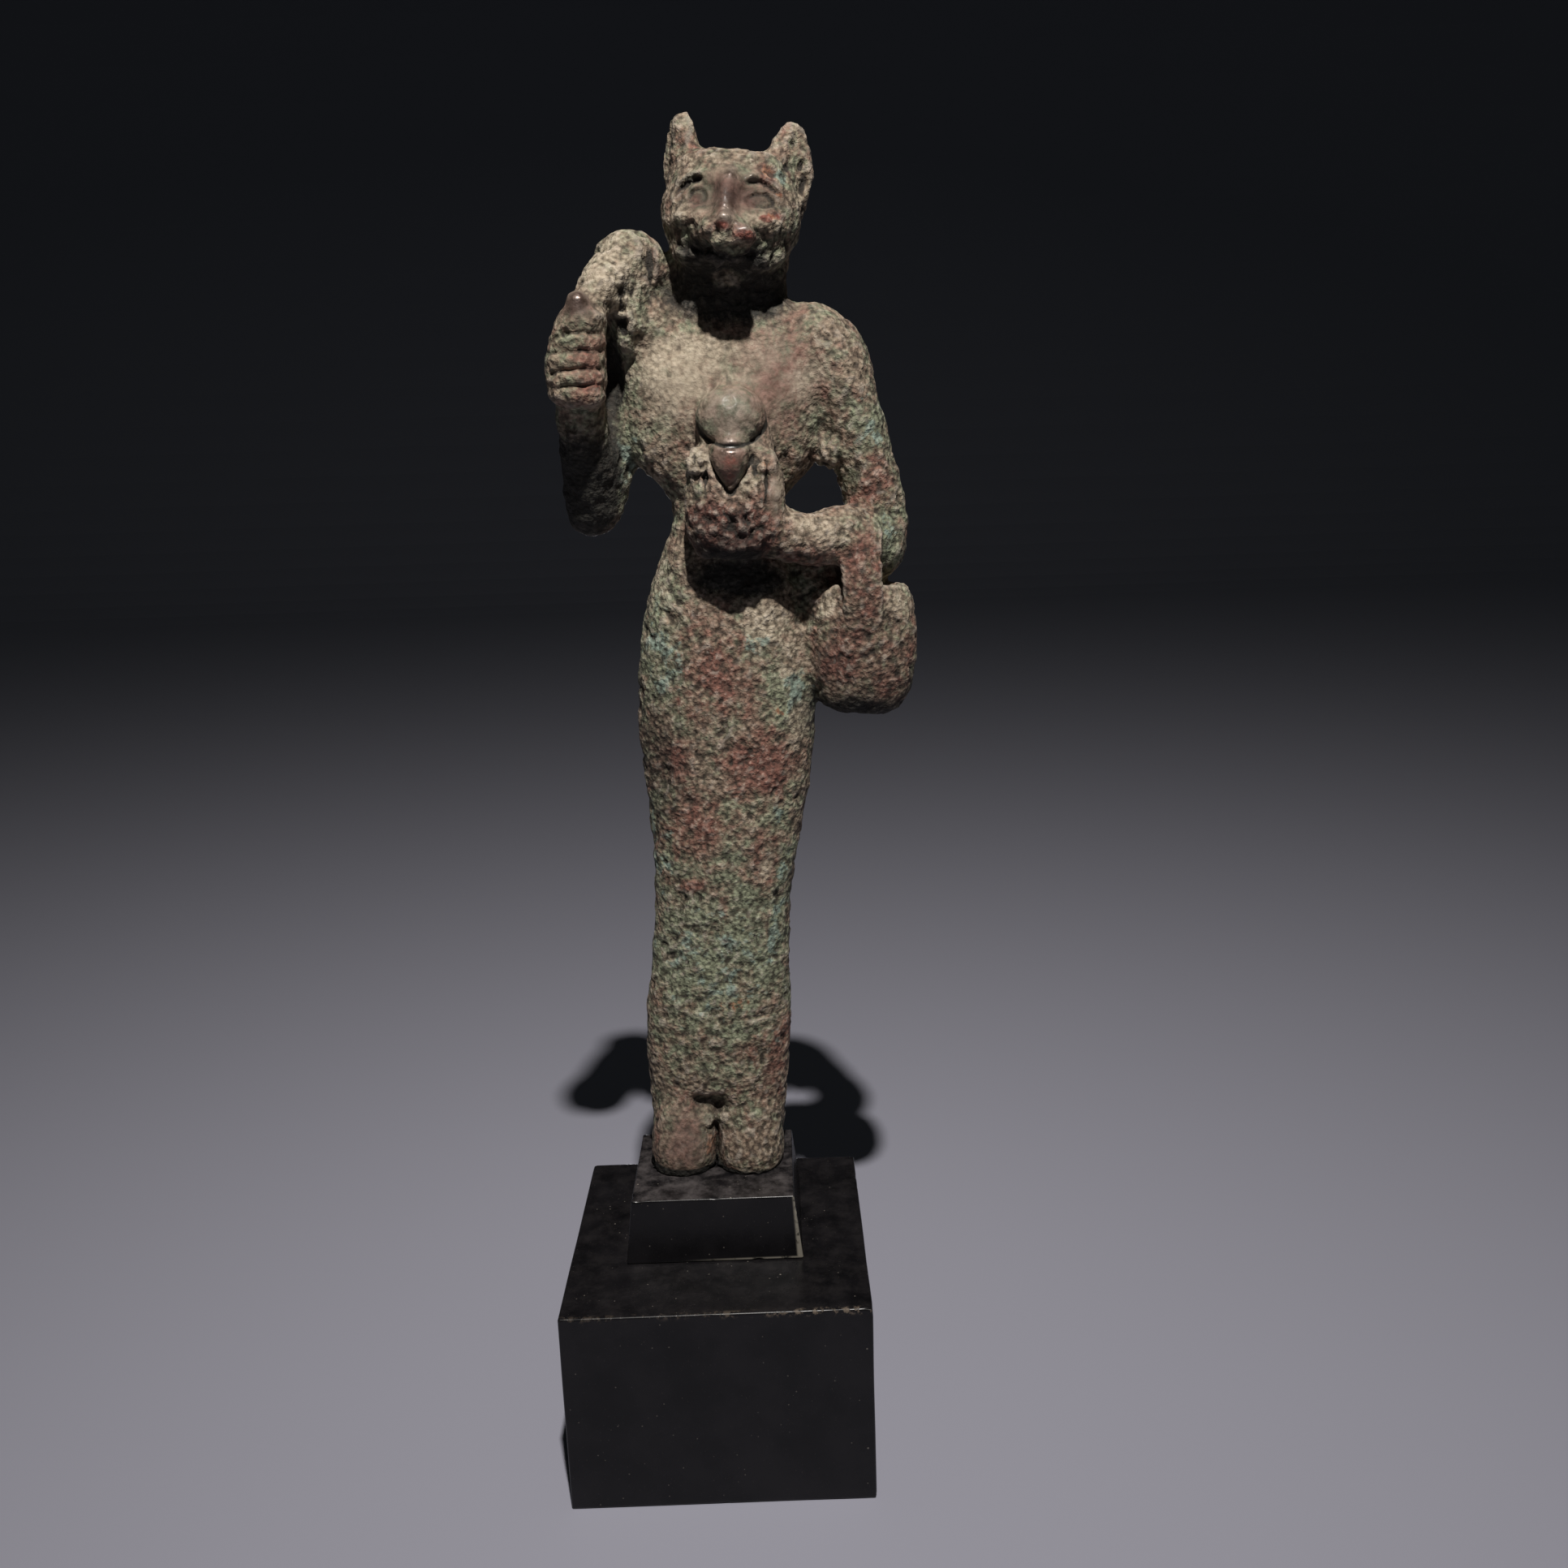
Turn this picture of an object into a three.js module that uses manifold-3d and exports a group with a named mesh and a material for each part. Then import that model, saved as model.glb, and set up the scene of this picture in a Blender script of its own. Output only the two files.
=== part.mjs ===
// A cat-headed goddess, cast in bronze in one piece and heavily corroded, on a two-step black wooden stand.
// Millimetres, +Z up. The origin is the middle of the stand's underside, and the figure faces -Y.

import * as THREE from 'three';
import { ParametricGeometry } from 'three/addons/geometries/ParametricGeometry.js';
import { mergeVertices } from 'three/addons/utils/BufferGeometryUtils.js';
import Module from 'manifold-3d';

// The stand: a square block, and a small riser on it whose four sides taper.
const blockSide = 32;
const blockHeight = 22.4;
const riserFootWidth = 19.1;
const riserFootDepth = 17.0;
const riserTaper = 0.8;
const riserHeight = 7.05;
const riserX = -0.3;
const riserY = 2.0;

// The figure: its height from sole to ear tip, its lean to the viewer's right,
// and where its axis meets the riser.
const figureHeight = 110;
const figureLean = THREE.MathUtils.degToRad(3.7);
const figureX = -0.15;
const figureY = 4.8;

// The head is turned a little to the viewer's left and tilts to the right.
const headTurn = THREE.MathUtils.degToRad(-4);
const headTilt = THREE.MathUtils.degToRad(2.3);

const riserTop = blockHeight + riserHeight;
const turn = 2 * Math.PI;

const wasm = await Module();
wasm.setup();

// Every form of the figure is set out in hundredths of its height: x across, y away from the viewer,
// and z up the leaning axis, from the point where the axis meets the riser.
const figureFrame = new THREE.Matrix4()
  .makeTranslation(figureX, figureY, riserTop)
  .multiply(new THREE.Matrix4().makeRotationY(figureLean))
  .scale(new THREE.Vector3().setScalar(figureHeight / 100));

function toSolid(geometry) {
  geometry.deleteAttribute('normal');
  geometry.deleteAttribute('uv');
  const merged = mergeVertices(geometry);
  const corners = [...merged.index.array];
  const triVerts = [];
  for (let i = 0; i < corners.length; i += 3) {
    const [a, b, c] = corners.slice(i, i + 3);
    if (a !== b && b !== c && c !== a) triVerts.push(a, b, c);
  }
  return new wasm.Manifold(new wasm.Mesh({
    numProp: 3,
    vertProperties: new Float32Array(merged.attributes.position.array),
    triVerts: new Uint32Array(triVerts),
  }));
}

function toGeometry(solid) {
  const mesh = solid.getMesh();
  const geometry = new THREE.BufferGeometry();
  geometry.setAttribute('position', new THREE.BufferAttribute(mesh.vertProperties, 3));
  geometry.setIndex(new THREE.BufferAttribute(mesh.triVerts, 1));
  const faceted = geometry.toNonIndexed();
  faceted.computeVertexNormals();
  return faceted;
}

function join(solids) {
  return solids.reduce((whole, next) => whole.add(next));
}

// A row of values at t between the first row (0) and the last (1), on a smooth curve through all the rows.
function follow(rows, t) {
  const place = t * (rows.length - 1);
  const i = Math.min(Math.floor(place), rows.length - 2);
  const f = place - i;
  const row = (k) => rows[THREE.MathUtils.clamp(k, 0, rows.length - 1)];
  return rows[i].map((value, c) => {
    const [before, from, to, after] = [row(i - 1)[c], value, row(i + 1)[c], row(i + 2)[c]];
    return from + 0.5 * f * (to - before
      + f * (2 * before - 5 * from + 4 * to - after + f * (3 * (from - to) + after - before)));
  });
}

// A closed skin: angle goes once round the form, and t runs along it from one end point to the other.
function skin(pointAt, around, along, frame) {
  const geometry = new ParametricGeometry((u, v, target) => {
    const end = v === 0 || v === 1;
    pointAt(turn * (u % 1), v, end, target);
  }, around, along);
  return toSolid(geometry.applyMatrix4(frame));
}

// The cosine or sine of an angle, pushed out so that a round section turns into a squarer one.
// A roundness of 1 leaves the section an ellipse, and a lower one squares it.
function square(value, roundness) {
  return Math.sign(value) * Math.abs(value) ** roundness;
}

// A body whose level sections each have a middle, a half width, a front and a back, with flat ends.
// A row is [z, middle x, half width, front y, back y].
function loft(rows, around, along, roundness, frame) {
  return skin((angle, v, end, target) => {
    const t = THREE.MathUtils.clamp((v * along - 1) / (along - 2), 0, 1);
    const [z, x, half, front, back] = follow(rows, t);
    const out = end ? 0 : 1;
    target.set(
      x + out * half * square(Math.cos(angle), roundness),
      (front + back) / 2 + out * (back - front) / 2 * square(Math.sin(angle), roundness),
      z);
  }, around, along, frame);
}

// A limb: an oval section carried along a curved path. Its ends are rounded over a share of its length.
// A row is [x, y, z, half width across the path, half depth].
function limb(rows, around, along, roundEnd, frame) {
  const depthwards = new THREE.Vector3(0, 1, 0);
  return skin((angle, v, end, target) => {
    const [x, y, z, half, deep] = follow(rows, v);
    const ahead = follow(rows, Math.min(1, v + 0.01));
    const behind = follow(rows, Math.max(0, v - 0.01));
    const heading = new THREE.Vector3(ahead[0] - behind[0], ahead[1] - behind[1], ahead[2] - behind[2]);
    heading.normalize();
    const across = new THREE.Vector3().crossVectors(heading, depthwards).normalize();
    const facing = new THREE.Vector3().crossVectors(across, heading);
    const fromEnd = Math.min(v, 1 - v) / roundEnd;
    const swell = end ? 0 : Math.sqrt(1 - (1 - Math.min(1, fromEnd)) ** 2);
    target.set(x, y, z)
      .addScaledVector(across, -half * swell * Math.cos(angle))
      .addScaledVector(facing, deep * swell * Math.sin(angle));
  }, around, along, frame);
}

// A rounded lump with its own half sizes, tilted in the front view.
function lump(x, y, z, half, deep, high, tilt, around, frame) {
  const geometry = new THREE.SphereGeometry(1, around, Math.round(around / 2) + 1);
  geometry.rotateX(turn / 4).scale(half, deep, high).rotateY(tilt).translate(x, y, z);
  return toSolid(geometry.applyMatrix4(frame));
}

// An egg-shaped head whose front is pushed out or in by soft bumps.
// Its first pole is the middle of the face, so that its finest facets lie there.
// A bump is [x, z, spread across, spread up, push forward, push up].
function faceForm([half, deep, high], bumps, around, along, frame) {
  return skin((angle, v, end, target) => {
    const away = Math.PI * v;
    const ring = end ? 0 : Math.sin(away);
    const x = half * ring * Math.cos(angle);
    const z = -high * ring * Math.sin(angle);
    const y = -deep * Math.cos(away);
    const front = THREE.MathUtils.smoothstep(Math.cos(away), -0.15, 0.5);
    target.set(x, y, z);
    for (const [bx, bz, across, up, forward, lift] of bumps) {
      const weight = front * Math.exp(-(((x - bx) / across) ** 2) - ((z - bz) / up) ** 2);
      target.y -= weight * forward;
      target.z += weight * lift;
    }
  }, around, along, frame);
}

function mirrored(bumps) {
  return bumps.flatMap((bump) => [bump, [-bump[0], ...bump.slice(1)]]);
}

// The long sheath dress, the waist, and the chest up to the foot of the neck.
const bodyRows = [
  [-1.0, 0.1, 6.3, -2.4, 3.6],
  [3.5, 0.1, 6.7, -2.8, 3.8],
  [7.5, 0.0, 6.95, -3.3, 3.9],
  [14.0, -0.1, 7.25, -3.5, 4.0],
  [21.0, -0.1, 6.95, -3.6, 4.1],
  [28.0, 0.0, 6.7, -3.8, 4.3],
  [34.8, 0.1, 7.35, -4.1, 4.6],
  [41.3, 0.1, 8.15, -4.4, 5.1],
  [46.5, 0.0, 8.5, -4.6, 5.5],
  [51.0, -0.2, 8.3, -4.6, 5.6],
  [56.0, -0.4, 7.5, -4.4, 5.2],
  [60.5, -0.4, 6.3, -4.0, 4.6],
  [64.5, -0.3, 5.1, -3.6, 4.0],
  [67.2, -0.7, 5.7, -3.6, 3.9],
  [69.6, -1.0, 8.0, -3.9, 4.0],
  [73.0, -1.1, 9.2, -4.3, 4.2],
  [77.0, -0.9, 9.6, -4.5, 4.4],
  [80.3, -0.5, 9.2, -3.9, 4.4],
  [82.8, -0.3, 7.9, -3.3, 4.2],
  [84.2, -0.8, 5.7, -2.8, 4.0],
];

// The thick neck, which runs up inside the head.
const neckRows = [
  [80.0, -1.0, 5.6, -3.3, 4.3],
  [83.5, -1.1, 5.4, -3.8, 4.1],
  [87.0, -0.8, 5.3, -4.7, 3.6],
  [92.0, -0.5, 5.2, -5.6, 2.8],
];

// A worn, blunt foot: a row is as in the body's, and side is -1 or 1.
function makeFoot(side) {
  const toes = [
    [-2.0, 3.3 * side, 3.1, -4.6, 2.6],
    [0.8, 3.35 * side, 3.3, -5.2, 2.8],
    [2.6, 3.3 * side, 3.35, -4.9, 2.8],
    [4.6, 3.3 * side, 3.3, -3.9, 2.6],
    [6.4, 3.3 * side, 3.0, -3.2, 2.4],
    [7.6, 3.3 * side, 2.4, -2.6, 2.0],
  ];
  return loft(toes, 12, 8, 0.85, figureFrame);
}

// The viewer's left arm is bent up, and its fist holds the sistrum, which leans back on the shoulder.
const raisedUpperArm = [
  [-2.6, 0.6, 81.2, 1.6, 2.2],
  [-6.2, 0.7, 80.8, 2.4, 3.1],
  [-8.5, 0.9, 78.2, 3.1, 3.5],
  [-10.0, 1.0, 74.4, 3.0, 3.2],
  [-11.5, 0.8, 69.6, 2.5, 2.8],
  [-12.7, 0.2, 65.6, 2.6, 2.7],
  [-13.1, -0.4, 63.2, 2.0, 2.0],
];
const raisedForearm = [
  [-12.6, 1.4, 63.4, 1.8, 1.8],
  [-12.9, -0.1, 65.4, 2.55, 2.4],
  [-13.1, -2.5, 69.5, 2.5, 2.4],
  [-13.4, -5.2, 74.0, 2.2, 2.1],
  [-13.4, -6.8, 77.0, 2.0, 1.9],
];
const sistrumRows = [
  [-13.2, -6.4, 76.4, 1.3, 1.2],
  [-13.1, -6.3, 80.6, 1.6, 1.6],
  [-12.3, -5.1, 83.4, 1.9, 1.9],
  [-10.9, -3.5, 85.2, 2.4, 2.2],
  [-9.8, -2.2, 86.2, 2.7, 2.4],
];
// The sistrum's far side, which comes down on the shoulder, and the pitted wall between its two sides.
const sistrumFarSide = [
  [-9.0, -1.4, 88.0, 1.6, 1.6],
  [-8.2, -1.0, 86.0, 1.7, 1.9],
  [-7.8, -0.9, 83.4, 1.7, 2.3],
  [-7.0, -0.9, 79.6, 2.2, 2.7],
];

// The closed hand: four finger bands round the shaft, one above the other, with the thumb over them.
const fingerCount = 4;
const fingerPitch = 1.55;
const fingerGroove = 0.28;
const fistLeft = -16.25;
const fistRight = -10.9;
const fistY = -7.2;
const fistDepth = 2.4;
const fistTop = 81.8;

function makeFist() {
  const middle = fistTop - fingerPitch * (fingerCount - 1);
  const bands = [];
  const addRow = (fingers, inward) => {
    const z = fistTop - fingerPitch * fingers;
    const knuckle = fistLeft + 1.2 * ((z - middle) / (fistTop - middle)) ** 2;
    bands.push([
      z, (knuckle + fistRight) / 2, (fistRight - knuckle) / 2 - inward,
      fistY - fistDepth + inward, fistY + fistDepth - inward]);
  };
  addRow(-0.2, 0.9);
  for (let i = 0; i < fingerCount; i++) {
    addRow(i + 0.25, 0);
    addRow(i + 0.7, 0);
    addRow(i + 1, fingerGroove);
  }
  addRow(fingerCount + 0.5, 0.2);
  addRow(fingerCount + 1, 0.9);
  const hand = loft(bands.reverse(), 12, 19, 0.9, figureFrame);
  const thumb = lump(-13.25, -8.3, 82.5, 1.05, 1.4, 1.05, 0, 10, figureFrame);
  return hand.add(thumb);
}

function makeSistrum() {
  const nearSide = limb(sistrumRows, 10, 9, 0.16, figureFrame);
  const top = lump(-9.55, -1.8, 86.4, 3.35, 2.6, 3.1, 0.2, 12, figureFrame);
  const farSide = limb(sistrumFarSide, 10, 7, 0.16, figureFrame);
  const wall = lump(-9.8, -0.8, 81.2, 2.7, 2.1, 5.2, 0, 10, figureFrame);
  return join([nearSide, top, farSide, wall]);
}

// The viewer's right arm is bent across the waist and holds the aegis before the chest.
const bentUpperArm = [
  [2.6, 0.2, 81.4, 1.6, 2.2],
  [6.2, 0.2, 81.6, 2.5, 3.1],
  [8.6, 0.2, 79.5, 3.2, 3.6],
  [10.3, 0.3, 75.2, 3.0, 3.5],
  [12.0, 0.5, 70.6, 2.75, 3.1],
  [13.5, 0.6, 65.8, 2.8, 2.9],
  [13.8, 0.3, 62.0, 2.5, 2.6],
  [13.5, 0.2, 59.6, 1.7, 1.8],
];
const bentForearm = [
  [15.2, 1.0, 62.2, 1.6, 1.6],
  [13.2, -0.2, 63.0, 2.8, 2.5],
  [10.4, -2.6, 63.6, 2.7, 2.4],
  [7.0, -4.4, 63.2, 2.35, 2.2],
  [3.6, -5.4, 63.9, 2.3, 2.1],
  [0.8, -5.4, 65.0, 1.8, 1.8],
];

// The aegis: a small lion's head above a broad U-shaped collar with rows of beads.
const aegisX = 0.3;
const collarLoft = [
  [61.5, aegisX, 2.6, -6.9, -3.8],
  [62.3, aegisX, 3.6, -7.8, -3.4],
  [64.2, aegisX, 4.25, -8.4, -3.2],
  [66.8, aegisX, 4.35, -8.4, -3.0],
  [69.2, aegisX, 4.1, -7.8, -3.0],
  [71.0, aegisX, 3.4, -7.0, -3.0],
];
const beadRows = 3;
const beadPitch = 0.23;
const beadHalf = 0.4;
const collarHalf = 4.15;
const collarDrop = 5.6;
const collarBulge = 2.6;
const collarRound = 0.6;
const collarY = -5.9;
const collarZ = 67.6;

// A row of beads hangs in a U on the collar's curved face; reach is its size as a share of the collar's.
function makeBeadRow(reach) {
  const arc = [];
  const steps = 6;
  for (let step = 0; step <= steps; step++) {
    const angle = Math.PI * (1 + step / steps);
    const across = reach * Math.cos(angle);
    const down = reach * Math.sin(angle);
    arc.push([
      aegisX + collarHalf * across,
      collarY - collarBulge * Math.sqrt(1 - across ** 2 - (collarRound * down) ** 2),
      collarZ + collarDrop * down,
      beadHalf, beadHalf,
    ]);
  }
  return limb(arc, 5, 9, 0.1, figureFrame);
}

function makeAegis() {
  const collar = loft(collarLoft, 16, 8, 0.85, figureFrame);
  const beads = [];
  for (let i = 0; i < beadRows; i++) beads.push(makeBeadRow(0.9 - beadPitch * i));
  const dome = lump(aegisX - 0.45, -5.5, 73.4, 3.15, 2.9, 3.1, 0, 12, figureFrame);
  const snout = lump(aegisX - 0.35, -7.8, 70.3, 1.65, 1.6, 2.1, 0.1, 12, figureFrame);
  const mane = [-1, 1].map((side) => (
    lump(aegisX - 0.15 + side * 2.9, -6.6, 69.6, 1.1, 1.3, 1.5, 0, 8, figureFrame)));
  const post = lump(aegisX, -4.6, 70.6, 3.4, 3.0, 4.4, 0, 10, figureFrame);
  return join([collar, dome, snout, post, ...mane, ...beads]);
}

// The situla: a flattened bag with a slightly dished top, on a broad band over the forearm.
// A web of metal joins it to the hip and the forearm.
const situlaRows = [
  [46.9, 12.7, 2.2, -2.6, 0.2],
  [47.7, 12.7, 3.7, -3.6, 1.2],
  [50.0, 12.7, 4.9, -4.5, 2.0],
  [53.5, 12.6, 5.2, -4.8, 2.3],
  [56.6, 12.5, 5.0, -4.6, 2.1],
  [58.5, 12.4, 4.4, -4.2, 1.8],
  [59.2, 12.4, 3.7, -3.8, 1.4],
];
const situlaBand = [
  [12.4, -4.6, 55.0, 1.7, 0.5],
  [12.3, -5.0, 57.6, 1.85, 0.6],
  [12.0, -4.9, 60.6, 1.95, 0.7],
  [11.9, -3.9, 63.6, 1.9, 0.8],
  [11.8, -2.2, 65.2, 1.8, 0.8],
];

function makeSitula() {
  const bag = loft(situlaRows, 16, 10, 0.9, figureFrame);
  const dish = lump(12.4, -1.2, 59.4, 3.2, 1.9, 1.1, 0, 10, figureFrame);
  const band = limb(situlaBand, 8, 9, 0.12, figureFrame);
  const toForearm = lump(10.6, -0.2, 60.2, 3.6, 1.8, 3.4, 0.25, 10, figureFrame);
  const toHip = lump(8.2, 0.2, 58.6, 3.2, 2.6, 4.2, 0, 10, figureFrame);
  return join([bag.subtract(dish), band, toForearm, toHip]);
}

// The cat's head: flat crown, wide cheeks, a short muzzle with two pads, and brows over deep-set eyes.
const headFrame = figureFrame.clone()
  .multiply(new THREE.Matrix4().makeTranslation(-0.6, -2.2, 90.85))
  .multiply(new THREE.Matrix4().makeRotationZ(headTurn))
  .multiply(new THREE.Matrix4().makeRotationY(headTilt));

const headSize = [6.2, 5.2, 5.0];
const headBumps = [
  [0, -2.3, 2.6, 1.7, 2.5, 0],
  [0, 0.6, 1.1, 2.6, 1.0, 0],
  [0, -4.2, 2.2, 1.0, 0.9, 0],
  ...mirrored([
    [2.5, 1.0, 1.5, 0.9, -0.55, 0],
    [4.3, -1.6, 1.9, 1.5, 0.7, 0],
  ]),
];
const eyeX = 2.3;
const eyeZ = 1.0;

// An eye is a low lens under a curved brow, with its inner corner a little higher than its outer one.
function makeEye(side) {
  const slant = -0.12 * side;
  const eye = lump(side * eyeX, -4.3, eyeZ, 1.25, 0.8, 0.65, slant, 10, headFrame);
  const brow = limb([
    [side * (eyeX - 1.4), -4.95, eyeZ + 0.8, 0.3, 0.4],
    [side * (eyeX - 0.4), -4.75, eyeZ + 1.35, 0.42, 0.5],
    [side * (eyeX + 0.9), -4.05, eyeZ + 1.35, 0.42, 0.5],
    [side * (eyeX + 2.1), -3.0, eyeZ + 0.6, 0.3, 0.5],
  ], 5, 7, 0.2, headFrame);
  return join([eye, brow]);
}

// The flat top of the head between the ears; a row is as in the body's.
const crownRows = [
  [0.5, 0, 5.4, -3.4, 4.6],
  [2.6, 0, 5.6, -3.5, 4.8],
  [4.1, -0.1, 5.2, -3.2, 4.5],
  [4.9, -0.1, 4.6, -2.5, 3.8],
  [5.2, -0.1, 3.8, -1.4, 2.6],
];

// An ear: a leaf that narrows to its tip and runs down the side of the head, hollowed from the front.
// facing turns its hollow outwards, and tip is its width at the top, as a share of half.
const earY = 0.6;
const hollowShare = 0.66;
const hollowForward = 1.15;

function makeEar(x, z, facing, lean, high, half, tip) {
  const frame = headFrame.clone()
    .multiply(new THREE.Matrix4().makeTranslation(x, earY, z))
    .multiply(new THREE.Matrix4().makeRotationY(lean))
    .multiply(new THREE.Matrix4().makeRotationZ(facing));
  const leaf = (grow, forward) => [
    [-5.2, 0, half * 0.45, -0.9, 1.0],
    [-2.6, 0, half * 0.85, -1.2, 1.2],
    [0, 0, half, -1.3, 1.3],
    [high * 0.45, 0, half * 0.86, -1.1, 1.1],
    [high * 0.8, 0, half * (0.4 + tip / 2), -0.8, 0.8],
    [high, 0, half * tip, -0.35, 0.35],
  ].map(([rowZ, rowX, width, front, back]) => (
    [rowZ * grow, rowX, width * grow, front * grow - forward, back * grow - forward]));
  const outer = loft(leaf(1, 0), 10, 8, 1, frame);
  const hollow = loft(leaf(hollowShare, hollowForward), 8, 6, 1, frame);
  return outer.subtract(hollow);
}

function makeHead() {
  const face = faceForm(headSize, headBumps, 26, 15, headFrame);
  const crown = loft(crownRows, 14, 7, 0.85, headFrame);
  const pads = [-1, 1].map((side) => lump(side * 1.1, -6.6, -2.3, 1.25, 1.1, 1.05, 0, 8, headFrame));
  const nose = lump(0, -7.3, -1.25, 0.85, 0.7, 0.6, 0, 8, headFrame);
  const chin = lump(0, -5.0, -3.9, 1.7, 1.1, 0.7, 0, 8, headFrame);
  const leftEar = makeEar(-4.75, 4.3, -0.75, -0.12, 3.9, 2.1, 0.55);
  const rightEar = makeEar(4.6, 3.4, 0.4, 0.05, 4.7, 2.4, 0.22);
  return join([face, crown, ...pads, nose, chin, makeEye(-1), makeEye(1), leftEar, rightEar]);
}

function makeFigure() {
  const whole = join([
    loft(bodyRows, 26, 30, 0.86, figureFrame),
    loft(neckRows, 16, 5, 0.95, figureFrame),
    makeFoot(-1), makeFoot(1), makeHead(),
    limb(raisedUpperArm, 12, 10, 0.14, figureFrame),
    limb(raisedForearm, 10, 8, 0.16, figureFrame),
    makeSistrum(), makeFist(),
    limb(bentUpperArm, 12, 11, 0.14, figureFrame),
    limb(bentForearm, 12, 9, 0.14, figureFrame),
    makeAegis(), makeSitula(),
  ]);
  // The feet are cut level where they stand on the riser.
  const below = new THREE.BoxGeometry(figureHeight, figureHeight, figureHeight);
  below.translate(0, 0, riserTop - figureHeight / 2);
  return whole.subtract(toSolid(below));
}

// A block whose four sides lean in by the same amount towards its top.
function makeTaperedBlock(width, depth, height, taper) {
  const geometry = new THREE.BoxGeometry(width, depth, height).translate(0, 0, height / 2);
  const position = geometry.attributes.position;
  for (let i = 0; i < position.count; i++) {
    const inward = taper * position.getZ(i) / height;
    position.setX(i, position.getX(i) - Math.sign(position.getX(i)) * inward);
    position.setY(i, position.getY(i) - Math.sign(position.getY(i)) * inward);
  }
  return geometry;
}

const bronze = new THREE.MeshStandardMaterial({ color: 0x5d5a48, roughness: 0.75, metalness: 0.45 });
const lacqueredWood = new THREE.MeshStandardMaterial({ color: 0x0b0a0b, roughness: 0.3, metalness: 0 });

const group = new THREE.Group();

const figure = new THREE.Mesh(toGeometry(makeFigure()), bronze);
figure.name = 'bastet_figure';
group.add(figure);

const riser = new THREE.Mesh(
  makeTaperedBlock(riserFootWidth, riserFootDepth, riserHeight, riserTaper), lacqueredWood.clone());
riser.name = 'plinth_riser';
riser.position.set(riserX, riserY, blockHeight);
group.add(riser);

const block = new THREE.Mesh(makeTaperedBlock(blockSide, blockSide, blockHeight, 0), lacqueredWood);
block.name = 'plinth_block';
group.add(block);

export default group;
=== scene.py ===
import math

import bmesh
import bpy
import numpy as np
from mathutils import Matrix, Vector


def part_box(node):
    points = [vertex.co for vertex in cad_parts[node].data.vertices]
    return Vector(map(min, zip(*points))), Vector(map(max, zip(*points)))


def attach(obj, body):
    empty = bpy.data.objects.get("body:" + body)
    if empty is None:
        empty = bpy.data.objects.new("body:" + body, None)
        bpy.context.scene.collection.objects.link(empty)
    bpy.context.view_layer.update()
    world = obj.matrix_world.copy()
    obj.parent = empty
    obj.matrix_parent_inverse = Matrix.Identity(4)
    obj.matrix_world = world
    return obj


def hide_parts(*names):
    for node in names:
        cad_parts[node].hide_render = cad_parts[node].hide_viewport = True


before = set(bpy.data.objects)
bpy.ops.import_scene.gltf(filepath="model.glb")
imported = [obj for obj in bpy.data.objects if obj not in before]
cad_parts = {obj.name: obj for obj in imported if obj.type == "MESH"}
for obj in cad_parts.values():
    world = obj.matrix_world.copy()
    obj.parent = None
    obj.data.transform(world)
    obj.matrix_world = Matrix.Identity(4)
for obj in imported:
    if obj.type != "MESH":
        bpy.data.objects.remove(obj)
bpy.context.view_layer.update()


# The lower block of the stand: a square of close-grained wood, sawn, sanded and black lacquered.
# Its edges are slightly rounded, and nicked and rubbed where it has been handled. Dust lies on it.
MM = 0.001
block_low, block_high = (np.array(corner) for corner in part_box("plinth_block"))
block_edge, block_nicks = 0.3 * MM, 0.32 * MM
lacquer_black, lacquer_smudged = (0.0040, 0.0038, 0.0044, 1), (0.0085, 0.0078, 0.009, 1)
specks_grey, film_grey, bare_wood = (0.26, 0.23, 0.20, 1), (0.105, 0.092, 0.092, 1), (0.16, 0.125, 0.095, 1)


def lattice_noise(points, size, seed):
    """Smooth random values from -1 to 1. Each corner of a cubic lattice of that spacing has a random
    number, and inside a cell the eight corners are blended with the ease 3t^2 - 2t^3 on each axis."""
    scaled = points / size
    cell = np.floor(scaled).astype(np.int64)
    ease = scaled - cell
    ease = ease * ease * (3 - 2 * ease)
    total = np.zeros(len(points))
    for corner in np.ndindex(2, 2, 2):
        weight = np.prod(np.where(corner, ease, 1 - ease), axis=1)
        total += weight * hashed(cell + np.array(corner), seed)
    return 2 * total - 1


def hashed(cells, seed):
    """A fixed random number from 0 to 1 for each whole-number cell: its three indices times large odd
    numbers, joined by exclusive or, and stirred with two more."""
    mixed = cells[:, 0] * 73856093 ^ cells[:, 1] * 19349663 ^ cells[:, 2] * 83492791 ^ seed * 26544357
    mixed &= 0xFFFFFFFF
    mixed = ((mixed ^ (mixed >> 15)) * 2246822519) & 0xFFFFFFFF
    mixed = ((mixed ^ (mixed >> 13)) * 3266489917) & 0xFFFFFFFF
    return (mixed ^ (mixed >> 16)) / 0xFFFFFFFF


def closed_skin(rings):
    """Points, quads and triangles of a closed surface from a grid of rings (along, around, xyz).
    Neighbouring rings are joined by quads, the last column to the first, and each end is closed by a fan."""
    along, around, _ = rings.shape
    points = np.vstack([rings.reshape(-1, 3), rings[0].mean(0), rings[-1].mean(0)])
    index = np.arange(along * around).reshape(along, around)
    beside = np.roll(index, -1, axis=1)
    quads = np.stack([index[:-1], beside[:-1], beside[1:], index[1:]], axis=-1).reshape(-1, 4)
    first = np.full(around, along * around)
    fans = np.vstack([np.stack([beside[0], index[0], first], axis=-1),
                      np.stack([index[-1], beside[-1], first + 1], axis=-1)])
    return points, quads, fans


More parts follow.
